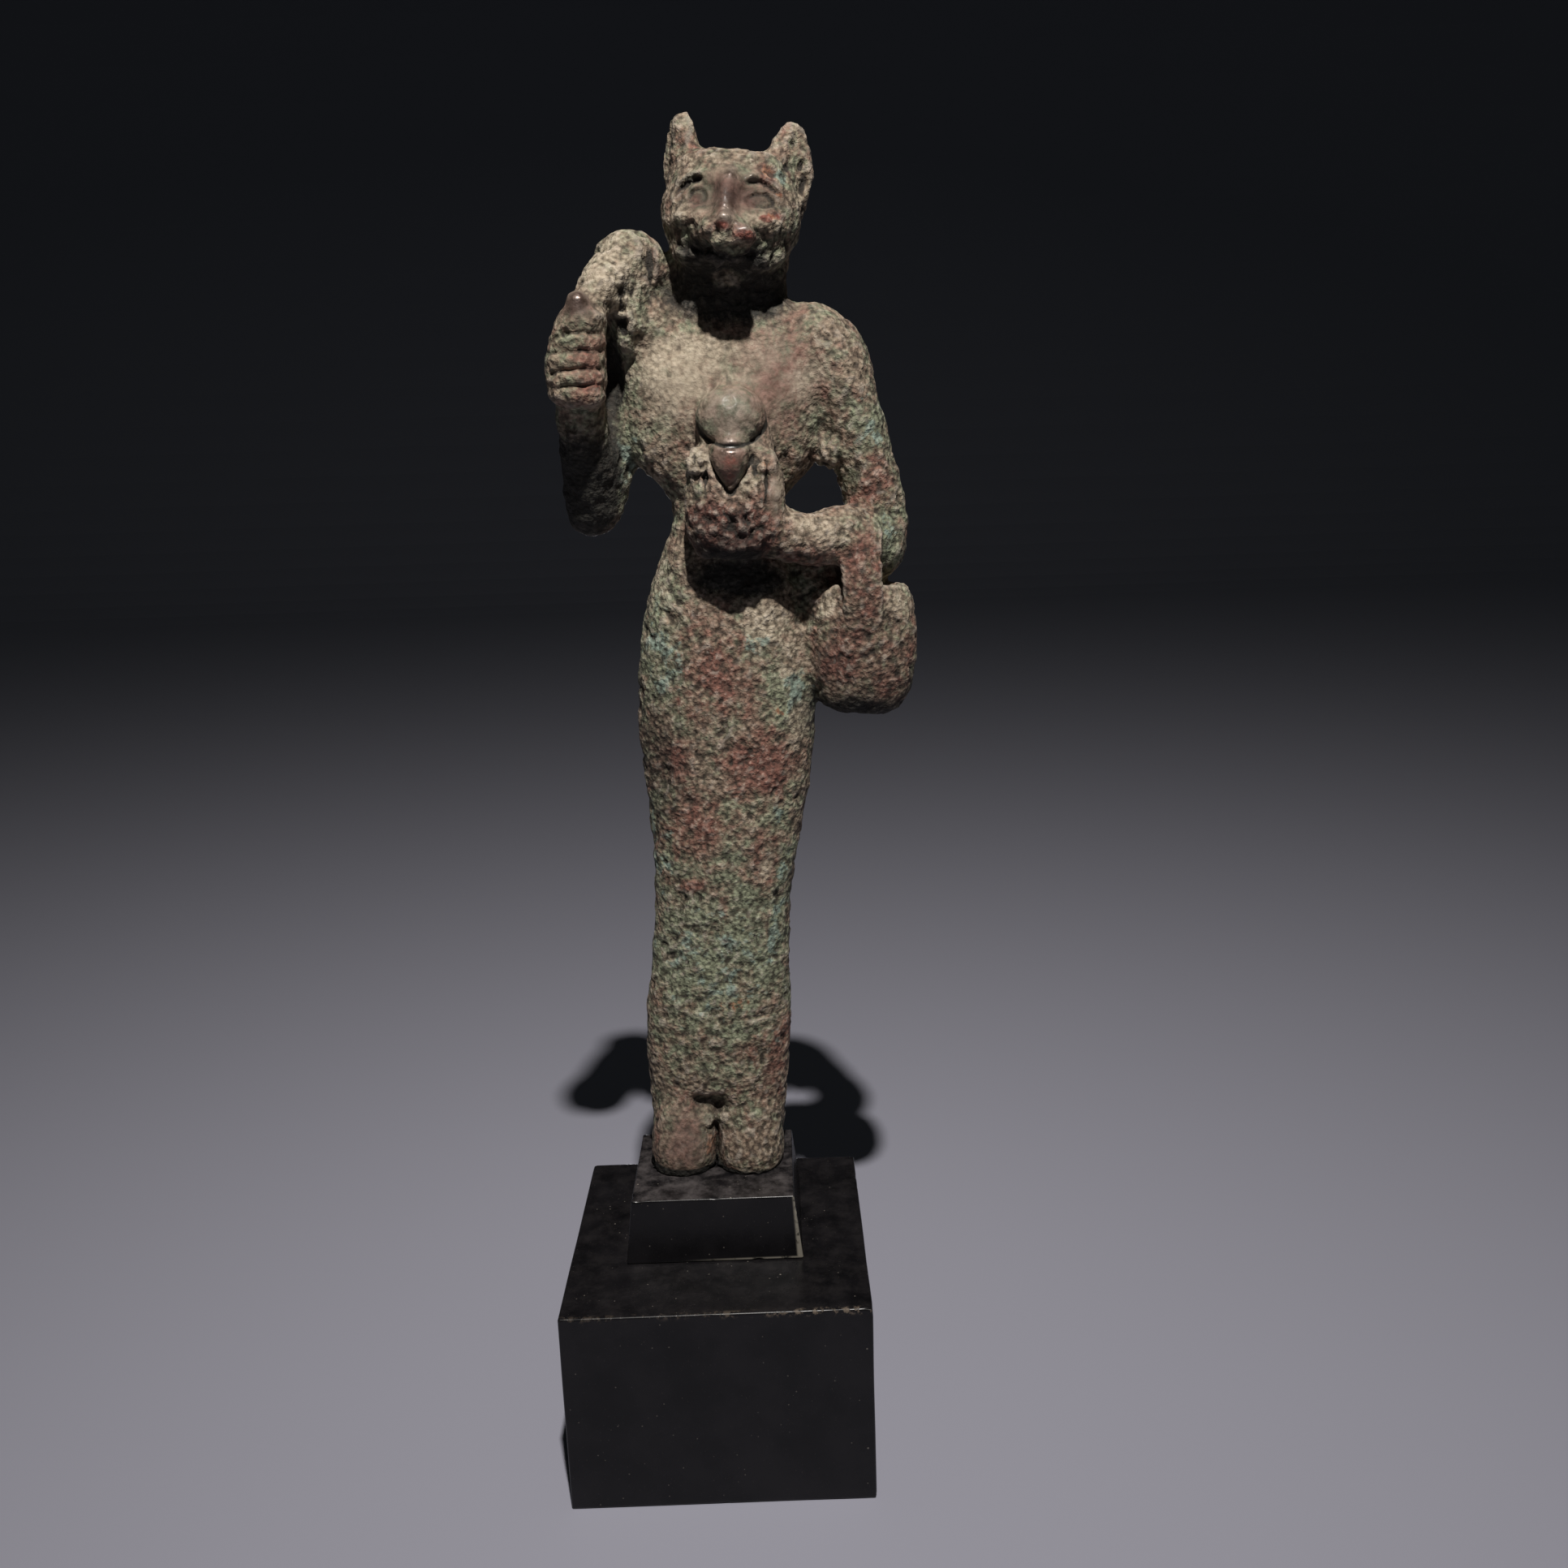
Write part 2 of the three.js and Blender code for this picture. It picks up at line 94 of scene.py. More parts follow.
def mesh_piece(name, skins):
    """One mesh object from closed skins. Their points and faces go in as whole arrays."""
    starts = np.cumsum([0] + [len(points) for points, _, _ in skins])
    points = np.vstack([points for points, _, _ in skins])
    quads = np.vstack([quads + start for (_, quads, _), start in zip(skins, starts)])
    fans = np.vstack([fans + start for (_, _, fans), start in zip(skins, starts)])
    corners = np.concatenate([quads.ravel(), fans.ravel()])
    sizes = np.concatenate([np.full(len(quads), 4), np.full(len(fans), 3)])
    mesh = bpy.data.meshes.new(name)
    mesh.vertices.add(len(points))
    mesh.vertices.foreach_set("co", points.ravel().astype(np.float32))
    mesh.loops.add(len(corners))
    mesh.loops.foreach_set("vertex_index", corners.astype(np.int32))
    mesh.polygons.add(len(sizes))
    mesh.polygons.foreach_set("loop_start", (np.cumsum(sizes) - sizes).astype(np.int32))
    mesh.polygons.foreach_set("use_smooth", np.ones(len(sizes), bool))
    mesh.update(calc_edges=True)
    mesh.validate()
    piece = bpy.data.objects.new(name, mesh)
    bpy.context.scene.collection.objects.link(piece)
    return piece


def spaced(half, edge, count):
    """Places from -half to half: four steps inside each rounded edge, and even steps between them."""
    near = np.linspace(0, edge, 5)[:-1]
    return np.concatenate([near - half, np.linspace(edge - half, half - edge, count), half - near[::-1]])


def worn_block(low, high, taper, edge, nick, seed):
    """A block of wood as one closed skin. The grid goes round the sides and, along its second way, from the
    middle of the underside out to the edge, up, and in to the middle of the top. Each point of the plain box
    is pulled back to an inner box and pushed out again by the edge radius, which rounds every edge. Noise
    then takes small nicks out of the edges, and the sides lean in evenly towards the top by the taper."""
    half = (high - low) / 2
    middle = (high + low) / 2
    across, deep, tall = (spaced(size, edge, 60) for size in half)
    outline = np.vstack([
        np.stack([across[:-1], np.full(len(across) - 1, -half[1])], axis=1),
        np.stack([np.full(len(deep) - 1, half[0]), deep[:-1]], axis=1),
        np.stack([across[:0:-1], np.full(len(across) - 1, half[1])], axis=1),
        np.stack([np.full(len(deep) - 1, -half[0]), deep[:0:-1]], axis=1),
    ])
    inward = np.concatenate([np.linspace(0.03, 0.9, 12), 1 - edge / half[0] * np.linspace(1, 0, 5)])
    share = np.concatenate([inward, np.ones(len(tall) - 2), inward[::-1]])
    level = np.concatenate([np.full(len(inward), -half[2]), tall[1:-1], np.full(len(inward), half[2])])
    plain = np.dstack([outline[None, :, 0] * share[:, None], outline[None, :, 1] * share[:, None],
                       np.repeat(level[:, None], len(outline), axis=1)])
    inner = np.clip(plain, edge - half, half - edge)
    out = plain - inner
    out /= np.maximum(np.linalg.norm(out, axis=-1, keepdims=True), 1e-9)
    rounded = inner + edge * out
    from_edge = np.sort(half - np.abs(rounded), axis=-1)[..., 1] / edge
    places = (rounded + middle).reshape(-1, 3)
    chance = lattice_noise(places, 1.1 * MM, seed) + 0.6 * lattice_noise(places, 0.45 * MM, seed + 1)
    bite = np.clip(chance - 0.55, 0, 0.6).reshape(from_edge.shape) * np.clip(1.6 - from_edge, 0, 1)
    rounded -= nick * bite[..., None] * out
    wave = lattice_noise(places, 7 * MM, seed + 2).reshape(from_edge.shape)
    rounded -= 0.03 * MM * (1 + wave[..., None]) * out
    rise = (rounded[..., 2] + half[2]) / (2 * half[2])
    rounded[..., :2] *= 1 - taper * rise[..., None] / half[:2]
    return closed_skin(rounded + middle)


class Signal:
    """An output of a shader node. Arithmetic on signals adds Math nodes, so a mask reads as an expression."""

    def __init__(self, finish, socket):
        self.finish, self.socket = finish, socket

    def math(self, operation, *values):
        return self.finish.node("ShaderNodeMath", {"operation": operation}, *values)

    def __add__(self, other):
        return self.math("ADD", self, other)

    def __sub__(self, other):
        return self.math("SUBTRACT", self, other)

    def __rsub__(self, other):
        return self.math("SUBTRACT", other, self)

    def __mul__(self, other):
        return self.math("MULTIPLY", self, other)

    __radd__ = __add__
    __rmul__ = __mul__

    def smallest(self, other):
        return self.math("MINIMUM", self, other)

    def largest(self, other):
        return self.math("MAXIMUM", self, other)

    def distance(self, value):
        return self.math("ABSOLUTE", self - value)

    def between(self, low, high):
        """A smooth step: 0 on the low side, 1 on the high side. low may be the larger of the two."""
        return self.finish.node("ShaderNodeMapRange", {"interpolation_type": "SMOOTHSTEP"}, self, low, high)


class Finish:
    """A material made of nodes round one Principled shader, whose patterns read Object coordinates."""

    def __init__(self, name):
        self.material = bpy.data.materials.new(name)
        self.material.use_nodes = True
        self.tree = self.material.node_tree
        self.shader = self.tree.nodes["Principled BSDF"]
        self.place = self.node("ShaderNodeTexCoord", output="Object")

    def node(self, kind, settings=None, *values, output=0, **named):
        """Any node: its settings come first, then its sockets by order or by name, as numbers or signals."""
        made = self.tree.nodes.new(kind)
        for key, value in (settings or {}).items():
            setattr(made, key, value)
        named = {name.replace("_", " "): value for name, value in named.items()}
        for key, value in [*enumerate(values), *named.items()]:
            self.feed(made.inputs[key], value)
        return Signal(self, made.outputs[output])

    def feed(self, socket, value):
        if isinstance(value, Signal):
            self.tree.links.new(value.socket, socket)
        elif value is not None:
            socket.default_value = value

    def set(self, **values):
        for name, value in values.items():
            self.feed(self.shader.inputs[name.replace("_", " ")], value)

    def mixed(self, share, first, second, blend="MIX"):
        """The first colour turned into the second by a share from 0 to 1."""
        made = self.node("ShaderNodeMix", {"data_type": "RGBA", "blend_type": blend}, share, output=2)
        self.feed(made.socket.node.inputs[6], first)
        self.feed(made.socket.node.inputs[7], second)
        return made

    def noise(self, grain, detail=3.0, roughness=0.6, twist=0.0, place=None):
        """Fractal noise about 0.5, whose coarsest grains are that many metres across."""
        return self.node("ShaderNodeTexNoise", None, Vector=place or self.place, Scale=1 / grain,
                         Detail=detail, Roughness=roughness, Distortion=twist)

    def parts(self, vector):
        """The three parts of a colour or a vector as signals."""
        split = self.node("ShaderNodeSeparateXYZ", None, vector).socket.node
        return [Signal(self, split.outputs[axis]) for axis in "XYZ"]

    def specks(self, spacing, radius, keep):
        """Round specks of about that radius, in a share keep of the cells of that spacing."""
        cells = self.node("ShaderNodeTexVoronoi", None, Vector=self.place, Scale=1 / spacing)
        lot = self.parts(Signal(self, cells.socket.node.outputs["Color"]))[0]
        return cells.between(radius / spacing, 0.4 * radius / spacing) * lot.between(1 - keep, 1.02 - keep)

    def relief(self, height, depth):
        """Bump from a height signal, where one unit of height stands that many metres high."""
        return self.node("ShaderNodeBump", None, Strength=1.0, Distance=depth, Height=height)


def black_lacquer(name, low, high, dusty_top, rubbing=1.0):
    """Black lacquer: smudged gloss, pale dust specks, a film of dust on the top, and wood that shows where
    the front upper edge is rubbed. The signals of place and facing come back with it for further work."""
    finish = Finish(name)
    x, y, z = finish.parts(finish.place)
    _, back, facing = finish.parts(finish.node("ShaderNodeNewGeometry", output="Normal"))
    side = facing.between(0.8, 0.3)
    grain = finish.noise(0.35 * MM, 4, 0.7)
    smudge = finish.noise(6 * MM, 4, 0.6)
    dust = finish.specks(0.8 * MM, 0.10 * MM, 0.22) * 0.6 + finish.specks(1.7 * MM, 0.14 * MM, 0.10)
    dust = (dust + finish.noise(0.16 * MM, 2).between(0.70, 0.78) * 0.5).smallest(1.0)
    film = finish.noise(2.2 * MM, 5, 0.7).between(0.35, 0.75)
    dust_film = film * dusty_top * facing.between(0.7, 0.95)
    from_front = y.distance(float(low[1]))
    from_top = z.distance(float(high[2]))
    near_edge = (from_front + from_top).between(0.8 * MM, 0.25 * MM)
    rubbed = near_edge * finish.noise(0.8 * MM, 4, 0.7).between(0.50, 0.62)
    rubbed = rubbed * (x.between(-6 * MM, 14 * MM) * 0.7 + 0.3) * rubbing
    colour = finish.mixed(smudge.between(0.3, 0.7), lacquer_black, lacquer_smudged)
    colour = finish.mixed(dust_film * 0.7, colour, film_grey)
    colour = finish.mixed(dust * (0.75 - side * 0.25), colour, specks_grey)
    colour = finish.mixed(rubbed * 0.8, colour, bare_wood)
    finish.set(Base_Color=colour, IOR=1.36)
    gloss = smudge.between(0.2, 0.8) * 0.14 + 0.2
    finish.set(Roughness=(gloss + dust_film * 0.35 + dust * 0.3 + rubbed * 0.3).smallest(0.9))
    height = grain * 0.25 + dust * 0.8 + film * dusty_top * 0.3 - rubbed * 0.8
    finish.set(Normal=finish.relief(height, 0.02 * MM))
    return finish, x, z, back


block = mesh_piece("stand_block", [worn_block(block_low, block_high, 0, block_edge, block_nicks, seed=3)])
block_lacquer = black_lacquer("block_black_lacquer", block_low, block_high, dusty_top=0.14)[0]
block.data.materials.append(block_lacquer.material)
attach(block, "root")
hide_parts("plinth_block")


# The upper riser of the stand: a smaller tapered block of the same lacquered wood, glued on the lower one.
# Its top carries the figure and is dull with dust, and pale wax has squeezed out round its foot.
riser_low, riser_high = (np.array(corner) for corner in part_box("plinth_riser"))
riser_taper, riser_edge, riser_nicks = 0.8 * MM, 0.22 * MM, 0.25 * MM
side_slope = 0.05
# The wax's colour, also used for a painted reflection down the riser's right edge.
wax_and_sheen_colour = (0.24, 0.22, 0.185, 1)
riser = mesh_piece("stand_riser", [
    worn_block(riser_low, riser_high, riser_taper, riser_edge, riser_nicks, seed=11)])
riser_lacquer, x, z, back = black_lacquer("riser_black_lacquer", riser_low, riser_high, 1.0, rubbing=0.25)
from_foot = z.distance(float(riser_low[2]))
from_right = (x + z * side_slope).distance(float(riser_high[0] + side_slope * riser_low[2]))
in_front = back.between(-0.3, -0.7)
# Pale wax round the foot, and a painted reflection: a pale strip down the right edge of the front.
wax_and_edge_sheen = from_foot.between(0.42 * MM, 0.2 * MM).largest(from_right.between(0.8 * MM, 0.5 * MM) * in_front)
wax_and_edge_sheen = wax_and_edge_sheen * riser_lacquer.noise(1.6 * MM, 4, 0.7).between(0.34, 0.50) * x.between(-4 * MM, 4 * MM)
lacquered = Signal(riser_lacquer, riser_lacquer.shader.inputs["Base Color"].links[0].from_socket)
riser_lacquer.set(Base_Color=riser_lacquer.mixed(wax_and_edge_sheen * 0.8, lacquered, wax_and_sheen_colour))
riser.data.materials.append(riser_lacquer.material)
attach(riser, "root")
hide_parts("plinth_riser")


# The figure: a cat-headed goddess in a long sheath dress, cast solid in bronze in one pour and buried for
# a long time, so that most of its skin is a spongy crust of brown, green and red corrosion with dark pits.
# Its forms are set out in hundredths of its height: x across, y away from the viewer, z up its leaning axis.
TURN = 2 * math.pi
figure_height = 110 * MM
hundredth = figure_height / 100
figure_foot = np.array([-0.15 * MM, 4.8 * MM, riser_high[2]])
figure_lean = math.radians(3.7)
head_place = (-0.6, -2.2, 90.85)
head_turn = math.radians(-4)
head_tilt = math.radians(2.3)

figure_frame = (Matrix.Translation(figure_foot) @ Matrix.Rotation(figure_lean, 4, "Y")
                @ Matrix.Scale(hundredth, 4))
head_frame = (figure_frame @ Matrix.Translation(head_place)
              @ Matrix.Rotation(head_turn, 4, "Z") @ Matrix.Rotation(head_tilt, 4, "Y"))


def carried(points, place):
    """Points carried from a frame of their own into the object's."""
    turned = np.array(place)
    return points @ turned[:3, :3].T + turned[:3, 3]


def local(points, place):
    """Points of the object in a frame's own units."""
    return carried(points, place.inverted())


def placed(skin, place):
    """A skin whose points are carried into the object's frame."""
    return carried(skin[0], place), *skin[1:]


def follow(rows, along):
    """Values between the first row (0) and the last (1), on the smooth cubic that passes through every row
    and is parallel there to the line between its two neighbours."""
    rows = np.asarray(rows, float)
    place = np.clip(along, 0, 1) * (len(rows) - 1)
    first = np.minimum(place.astype(int), len(rows) - 2)
    part = (place - first)[:, None]
    before, start = rows[np.maximum(first - 1, 0)], rows[first]
    end, after = rows[first + 1], rows[np.minimum(first + 2, len(rows) - 1)]
    cubic = 2 * before - 5 * start + 4 * end - after + part * (3 * (start - end) + after - before)
    return start + 0.5 * part * (end - before + part * cubic)


def squared(value, roundness):
    """A cosine or sine pushed out towards a squarer section; a roundness of 1 leaves it as it is."""
    return np.sign(value) * np.abs(value) ** roundness


def loft(rows, roundness=0.86, around=96, along=120, place=figure_frame):
    """A body whose level sections are ovals pushed towards squares, with flat ends.
    A row is z, middle x, half width, front y, back y."""
    z, x, half, front, back = (part[:, None] for part in follow(rows, np.linspace(0, 1, along)).T)
    angle = np.arange(around) * TURN / around
    return placed(closed_skin(np.dstack([
        x + half * squared(np.cos(angle), roundness),
        (front + back) / 2 + (back - front) / 2 * squared(np.sin(angle), roundness),
        z + 0 * angle])), place)


def limb(rows, round_end=0.14, around=40, along=80, place=figure_frame):
    """A limb: an oval section carried along a curved path, square to it, its ends rounded over a share of
    its length by a quarter circle. A row is x, y, z, half width across the path, half depth."""
    share = np.linspace(0, 1, along)
    path = follow(rows, share)
    heading = np.gradient(path[:, :3], axis=0)
    heading /= np.linalg.norm(heading, axis=1, keepdims=True)
    across = np.cross(heading, (0, 1, 0))
    across /= np.linalg.norm(across, axis=1, keepdims=True)
    facing = np.cross(across, heading)
    from_end = np.minimum(share, 1 - share) / round_end
    swell = np.sqrt(1 - (1 - np.minimum(from_end, 1)) ** 2).clip(0.02)
    angle = np.arange(around) * TURN / around
    wide = (path[:, 3] * swell)[:, None, None] * across[:, None] * -np.cos(angle)[None, :, None]
    deep = (path[:, 4] * swell)[:, None, None] * facing[:, None] * np.sin(angle)[None, :, None]
    return placed(closed_skin(path[:, None, :3] + wide + deep), place)


def lump(centre, sizes, tilt=0.0, around=36, place=figure_frame):
    """A rounded lump with its own half sizes, tilted in the front view."""
    pole = np.linspace(0.03, math.pi - 0.03, around // 2)[:, None]
    angle = np.arange(around) * TURN / around
    ball = np.dstack([np.sin(pole) * np.cos(angle), np.sin(pole) * np.sin(angle), -np.cos(pole) + 0 * angle])
    turned = Matrix.Translation(centre) @ Matrix.Rotation(tilt, 4, "Y")
    return placed(closed_skin(ball * np.array(sizes)), place @ turned)


# The long sheath dress, the waist and the chest, up to the foot of the thick neck that carries the head.
# The plain dress is narrow at the shins, and two worn, blunt feet come out under it.
body = loft([
    [-1, 0.1, 6.3, -2.4, 3.6],
    [3.5, 0.1, 6.7, -2.8, 3.8],
    [7.5, 0, 6.95, -3.3, 3.9],
    [14, -0.1, 7.25, -3.5, 4],
    [21, -0.1, 6.95, -3.6, 4.1],
    [28, 0, 6.7, -3.8, 4.3],
    [34.8, 0.1, 7.35, -4.1, 4.6],
    [41.3, 0.1, 8.15, -4.4, 5.1],
    [46.5, 0, 8.5, -4.6, 5.5],
    [51, -0.2, 8.3, -4.6, 5.6],
    [56, -0.4, 7.5, -4.4, 5.2],
    [60.5, -0.4, 6.3, -4, 4.6],
    [64.5, -0.3, 5.1, -3.6, 4],
    [67.2, -0.7, 5.7, -3.6, 3.9],
    [69.6, -1, 8, -3.9, 4],
    [73, -1.1, 9.2, -4.3, 4.2],
    [77, -0.9, 9.6, -4.5, 4.4],
    [80.3, -0.5, 9.2, -3.9, 4.4],
    [82.8, -0.3, 7.9, -3.3, 4.2],
    [84.2, -0.8, 5.7, -2.8, 4],
], along=260, around=150)
neck = loft([
    [80, -1, 5.6, -3.3, 4.3],
    [83.5, -1.1, 5.4, -3.8, 4.1],
    [87, -0.8, 5.3, -4.7, 3.6],
    [92, -0.5, 5.2, -5.6, 2.8],
], roundness=0.95, along=50)


def foot(side):
    """A worn, blunt foot; side is -1 or 1."""
    return loft([
        [-2, 3.3 * side, 3.1, -4.6, 2.6],
        [0.8, 3.35 * side, 3.3, -5.2, 2.8],
        [2.6, 3.3 * side, 3.35, -4.9, 2.8],
        [4.6, 3.3 * side, 3.3, -3.9, 2.6],
        [6.4, 3.3 * side, 3, -3.2, 2.4],
        [7.6, 3.3 * side, 2.4, -2.6, 2],
    ], roundness=0.85, around=70, along=50)


# The cat's head: a flat crown, wide cheeks, and a short muzzle with two pads. It is turned a little to the
# viewer's left, and corrosion has left its two ears unlike.
head_size = (6.2, 5.2, 5)
face_bumps = [
    (0, -2.3, 2.6, 1.7, 2.5),
    (0, 0.6, 1.1, 2.6, 1),
    (0, -4.2, 2.2, 1, 0.9),
    (-2.5, 1, 1.5, 0.9, -0.55),
    (2.5, 1, 1.5, 0.9, -0.55),
    (-4.3, -1.6, 1.9, 1.5, 0.7),
    (4.3, -1.6, 1.9, 1.5, 0.7),
]


def face_form(sizes, bumps, around=110, along=100):
    """An egg whose first pole is the middle of the face. Its front is pushed out or in by bell-shaped bumps:
    a bump is x, z, spread across, spread up, push forward."""
    away = np.linspace(0.02, math.pi - 0.02, along)[:, None]
    angle = np.arange(around) * TURN / around
    x = sizes[0] * np.sin(away) * np.cos(angle)
    z = -sizes[2] * np.sin(away) * np.sin(angle)
    y = -sizes[1] * np.cos(away) + 0 * angle
    front = ((np.cos(away) + 0.15) / 0.65).clip(0, 1)
    front = front * front * (3 - 2 * front)
    for at_x, at_z, across, up, forward in bumps:
        y = y - forward * front * np.exp(-((x - at_x) / across) ** 2 - ((z - at_z) / up) ** 2)
    return placed(closed_skin(np.dstack([x, y, z])), head_frame)


def ear(at, facing, lean, high, half, tip, hollow_at, hollow_half, hollow_deep):
    """An ear: a leaf that narrows to its tip and runs down the side of the head. A hollow is pressed into its
    front: one minus the square of the distance from the hollow's middle, as a share of its half width."""
    place = (head_frame @ Matrix.Translation(at) @ Matrix.Rotation(lean, 4, "Y")
             @ Matrix.Rotation(facing, 4, "Z"))
    rows = [
        [-5.2, 0, half * 0.45, -0.9, 1],
        [-2.6, 0, half * 0.85, -1.2, 1.2],
        [0, 0, half, -1.3, 1.3],
        [high * 0.45, 0, half * 0.86, -1.1, 1.1],
        [high * 0.8, 0, half * (0.4 + tip / 2), -0.8, 0.8],
        [high, 0, half * tip, -0.35, 0.35],
    ]
    z, x, wide, front, back = (part[:, None] for part in follow(rows, np.linspace(0, 1, 60)).T)
    angle = np.arange(96) * TURN / 96
    cross = np.cos(angle)
    depth = np.sin(angle) * np.where(np.sin(angle) < 0, -front, back)
    hollow = np.clip(1 - ((cross - hollow_at) / hollow_half) ** 2, 0, 1) * (np.sin(angle) < 0)
    upward = np.clip((z + 2.2) / 2.2, 0, 1) * np.clip((high - z) / 1.4, 0, 1)
    pressed = depth + hollow_deep * hollow * upward
    return placed(closed_skin(np.dstack([x + wide * cross, pressed, z + 0 * angle])), place)


head = [
    face_form(head_size, face_bumps),
    loft([
        [0.5, 0, 5.4, -3.4, 4.6],
        [2.6, 0, 5.6, -3.5, 4.8],
        [4.1, -0.1, 5.2, -3.2, 4.5],
        [4.9, -0.1, 4.6, -2.5, 3.8],
        [5.2, -0.1, 3.8, -1.4, 2.6],
    ], roundness=0.85, along=50, place=head_frame),
    lump((-0.95, -6.5, -2.15), (1.15, 1.05, 0.95), place=head_frame),
    lump((1.6, -6.6, -2.35), (1.15, 1.1, 0.9), place=head_frame),
    lump((0.15, -7.05, -1.6), (0.8, 0.85, 0.85), place=head_frame),
    lump((0.5, -6.25, -3), (1.85, 1.3, 1), place=head_frame),
    lump((0, -5, -3.9), (1.7, 1.1, 0.7), place=head_frame),
    lump((-2.3, -2.1, -3), (2.7, 2.4, 1.9), place=head_frame),
    lump((2.4, -2.1, -3), (2.7, 2.4, 1.9), place=head_frame),
    ear((-4.75, 0.6, 4.3), -0.75, -0.12, 3.9, 2.1, 0.55, -0.5, 0.32, 1.2),
    ear((4.6, 0.6, 3.4), 0.4, 0.05, 4.7, 2.4, 0.22, 0.2, 0.6, 0.6),
]

# The viewer's left arm is bent up, and cast in one with the body. Its fist holds the sistrum, a rattle whose
# head leans back on the shoulder and has corroded to two sides with a pitted wall between them.
raised_arm = [
    limb([
        [-2.6, 0.6, 81.2, 1.6, 2.2],
        [-6.2, 0.7, 80.8, 2.4, 3.1],
        [-8.5, 0.9, 78.2, 3.1, 3.5],
        [-10, 1, 74.4, 3, 3.2],
        [-11.5, 0.8, 69.6, 2.5, 2.8],
        [-12.7, 0.2, 65.6, 2.6, 2.7],
        [-13.1, -0.4, 63.2, 2, 2],
    ], around=60, along=110),
    limb([
        [-12.6, 1.4, 63.4, 1.8, 1.8],
        [-12.9, -0.1, 65.4, 2.55, 2.4],
        [-13.1, -2.5, 69.5, 2.5, 2.4],
        [-13.4, -5.2, 74, 2.2, 2.1],
        [-13.4, -6.8, 77, 2, 1.9],
    ], round_end=0.16),
]
sistrum = [
    limb([
        [-13.2, -6.4, 76.4, 1.3, 1.2],
        [-13.1, -6.3, 80.6, 1.6, 1.6],
        [-12.3, -5.1, 83.4, 1.9, 1.9],
        [-10.9, -3.5, 85.2, 2.4, 2.2],
        [-9.8, -2.2, 86.2, 2.7, 2.4],
    ], round_end=0.16),
    lump((-9.55, -1.8, 86.4), (3.35, 2.6, 3.1), 0.2, around=60),
    limb([
        [-9, -1.4, 88, 1.6, 1.6],
        [-8.2, -1, 86, 1.7, 1.9],
        [-7.8, -0.9, 83.4, 1.7, 2.3],
        [-7, -0.9, 79.6, 2.2, 2.7],
    ], round_end=0.16),
    lump((-9.8, -0.8, 81.2), (2.7, 2.1, 5.2), around=50),
    lump((-9.6, -2.4, 82), (1.9, 2, 3.6), around=50),
]

# The closed hand: four finger bands round the sistrum's shaft, with the thumb over them. The bands were cut
# into the wax before it was cast, and the thumb's tip is rubbed bright.
finger_count = 4
finger_pitch = 1.55
finger_groove = 0.34
fist_left, fist_right = -16.25, -10.9
fist_y, fist_depth = -7.2, 2.4
fist_top = 81.8


def fist():
    """The hand as one upright form, whose width and depth follow the fingers: each finger's section swells
    and the groove under it draws in, as the square root of a sine does."""
    low, high = fist_top - finger_pitch * (finger_count + 1), fist_top + 0.2 * finger_pitch
    z = np.linspace(low, high, 90)[:, None]
    fingers = (fist_top - z) / finger_pitch
    swell = np.sqrt(np.abs(np.sin(math.pi * np.clip(fingers, 0, finger_count))))
    inward = finger_groove * (1 - swell) * (fingers > 0.15) * (fingers < finger_count + 0.2)
    inward = inward + 0.9 * np.clip(np.maximum(-fingers / 0.2, (fingers - finger_count) - 0.1), 0, 1) ** 2
    middle = fist_top - finger_pitch * (finger_count - 1)
    knuckle = fist_left + 1.2 * ((z - middle) / (fist_top - middle)) ** 2
    angle = np.arange(72) * TURN / 72
    return placed(closed_skin(np.dstack([
        (knuckle + fist_right) / 2 + ((fist_right - knuckle) / 2 - inward) * squared(np.cos(angle), 0.9),
        fist_y + (fist_depth - inward) * squared(np.sin(angle), 0.9),
        z + 0 * angle])), figure_frame)


hand = [fist(), lump((-13.25, -8.3, 82.5), (1.05, 1.4, 1.05))]

# The viewer's right arm is bent across the waist, with the aegis at its hand. It is cast in one with the
# body, and crust has filled the corner of the armpit.
bent_arm = [
    limb([
        [2.6, 0.2, 81.4, 1.6, 2.2],
        [6.2, 0.2, 81.6, 2.5, 3.1],
        [8.6, 0.2, 79.5, 3.2, 3.6],
        [10.3, 0.3, 75.2, 3, 3.5],
        [12, 0.5, 70.6, 2.75, 3.1],
        [13.5, 0.6, 65.8, 2.8, 2.9],
        [13.8, 0.3, 62, 2.5, 2.6],
        [13.5, 0.2, 59.6, 1.7, 1.8],
    ], around=60, along=120),
    limb([
        [15.2, 1, 62.2, 1.6, 1.6],
        [13.2, -0.2, 63, 2.8, 2.5],
        [10.4, -2.6, 63.6, 2.7, 2.4],
        [7, -4.4, 63.2, 2.35, 2.2],
        [3.6, -5.4, 63.9, 2.3, 2.1],
        [0.8, -5.4, 65, 1.8, 1.8],
    ], along=100),
    lump((8.8, -0.6, 71.1), (1.3, 1.6, 1.5)),
]

# The aegis: a small lion's head above a broad U-shaped collar with rows of beads, held against the chest
# and cast with it. The dome of its disc and its snout are worn smooth.
aegis_x = 0.3
collar_half, collar_drop = 4.15, 5.6
collar_bulge, collar_round = 2.6, 0.6
collar_y, collar_z = -5.9, 67.6
bead_rows = 3
bead_pitch = 0.23
bead_half = 0.42
bead_step = 0.8


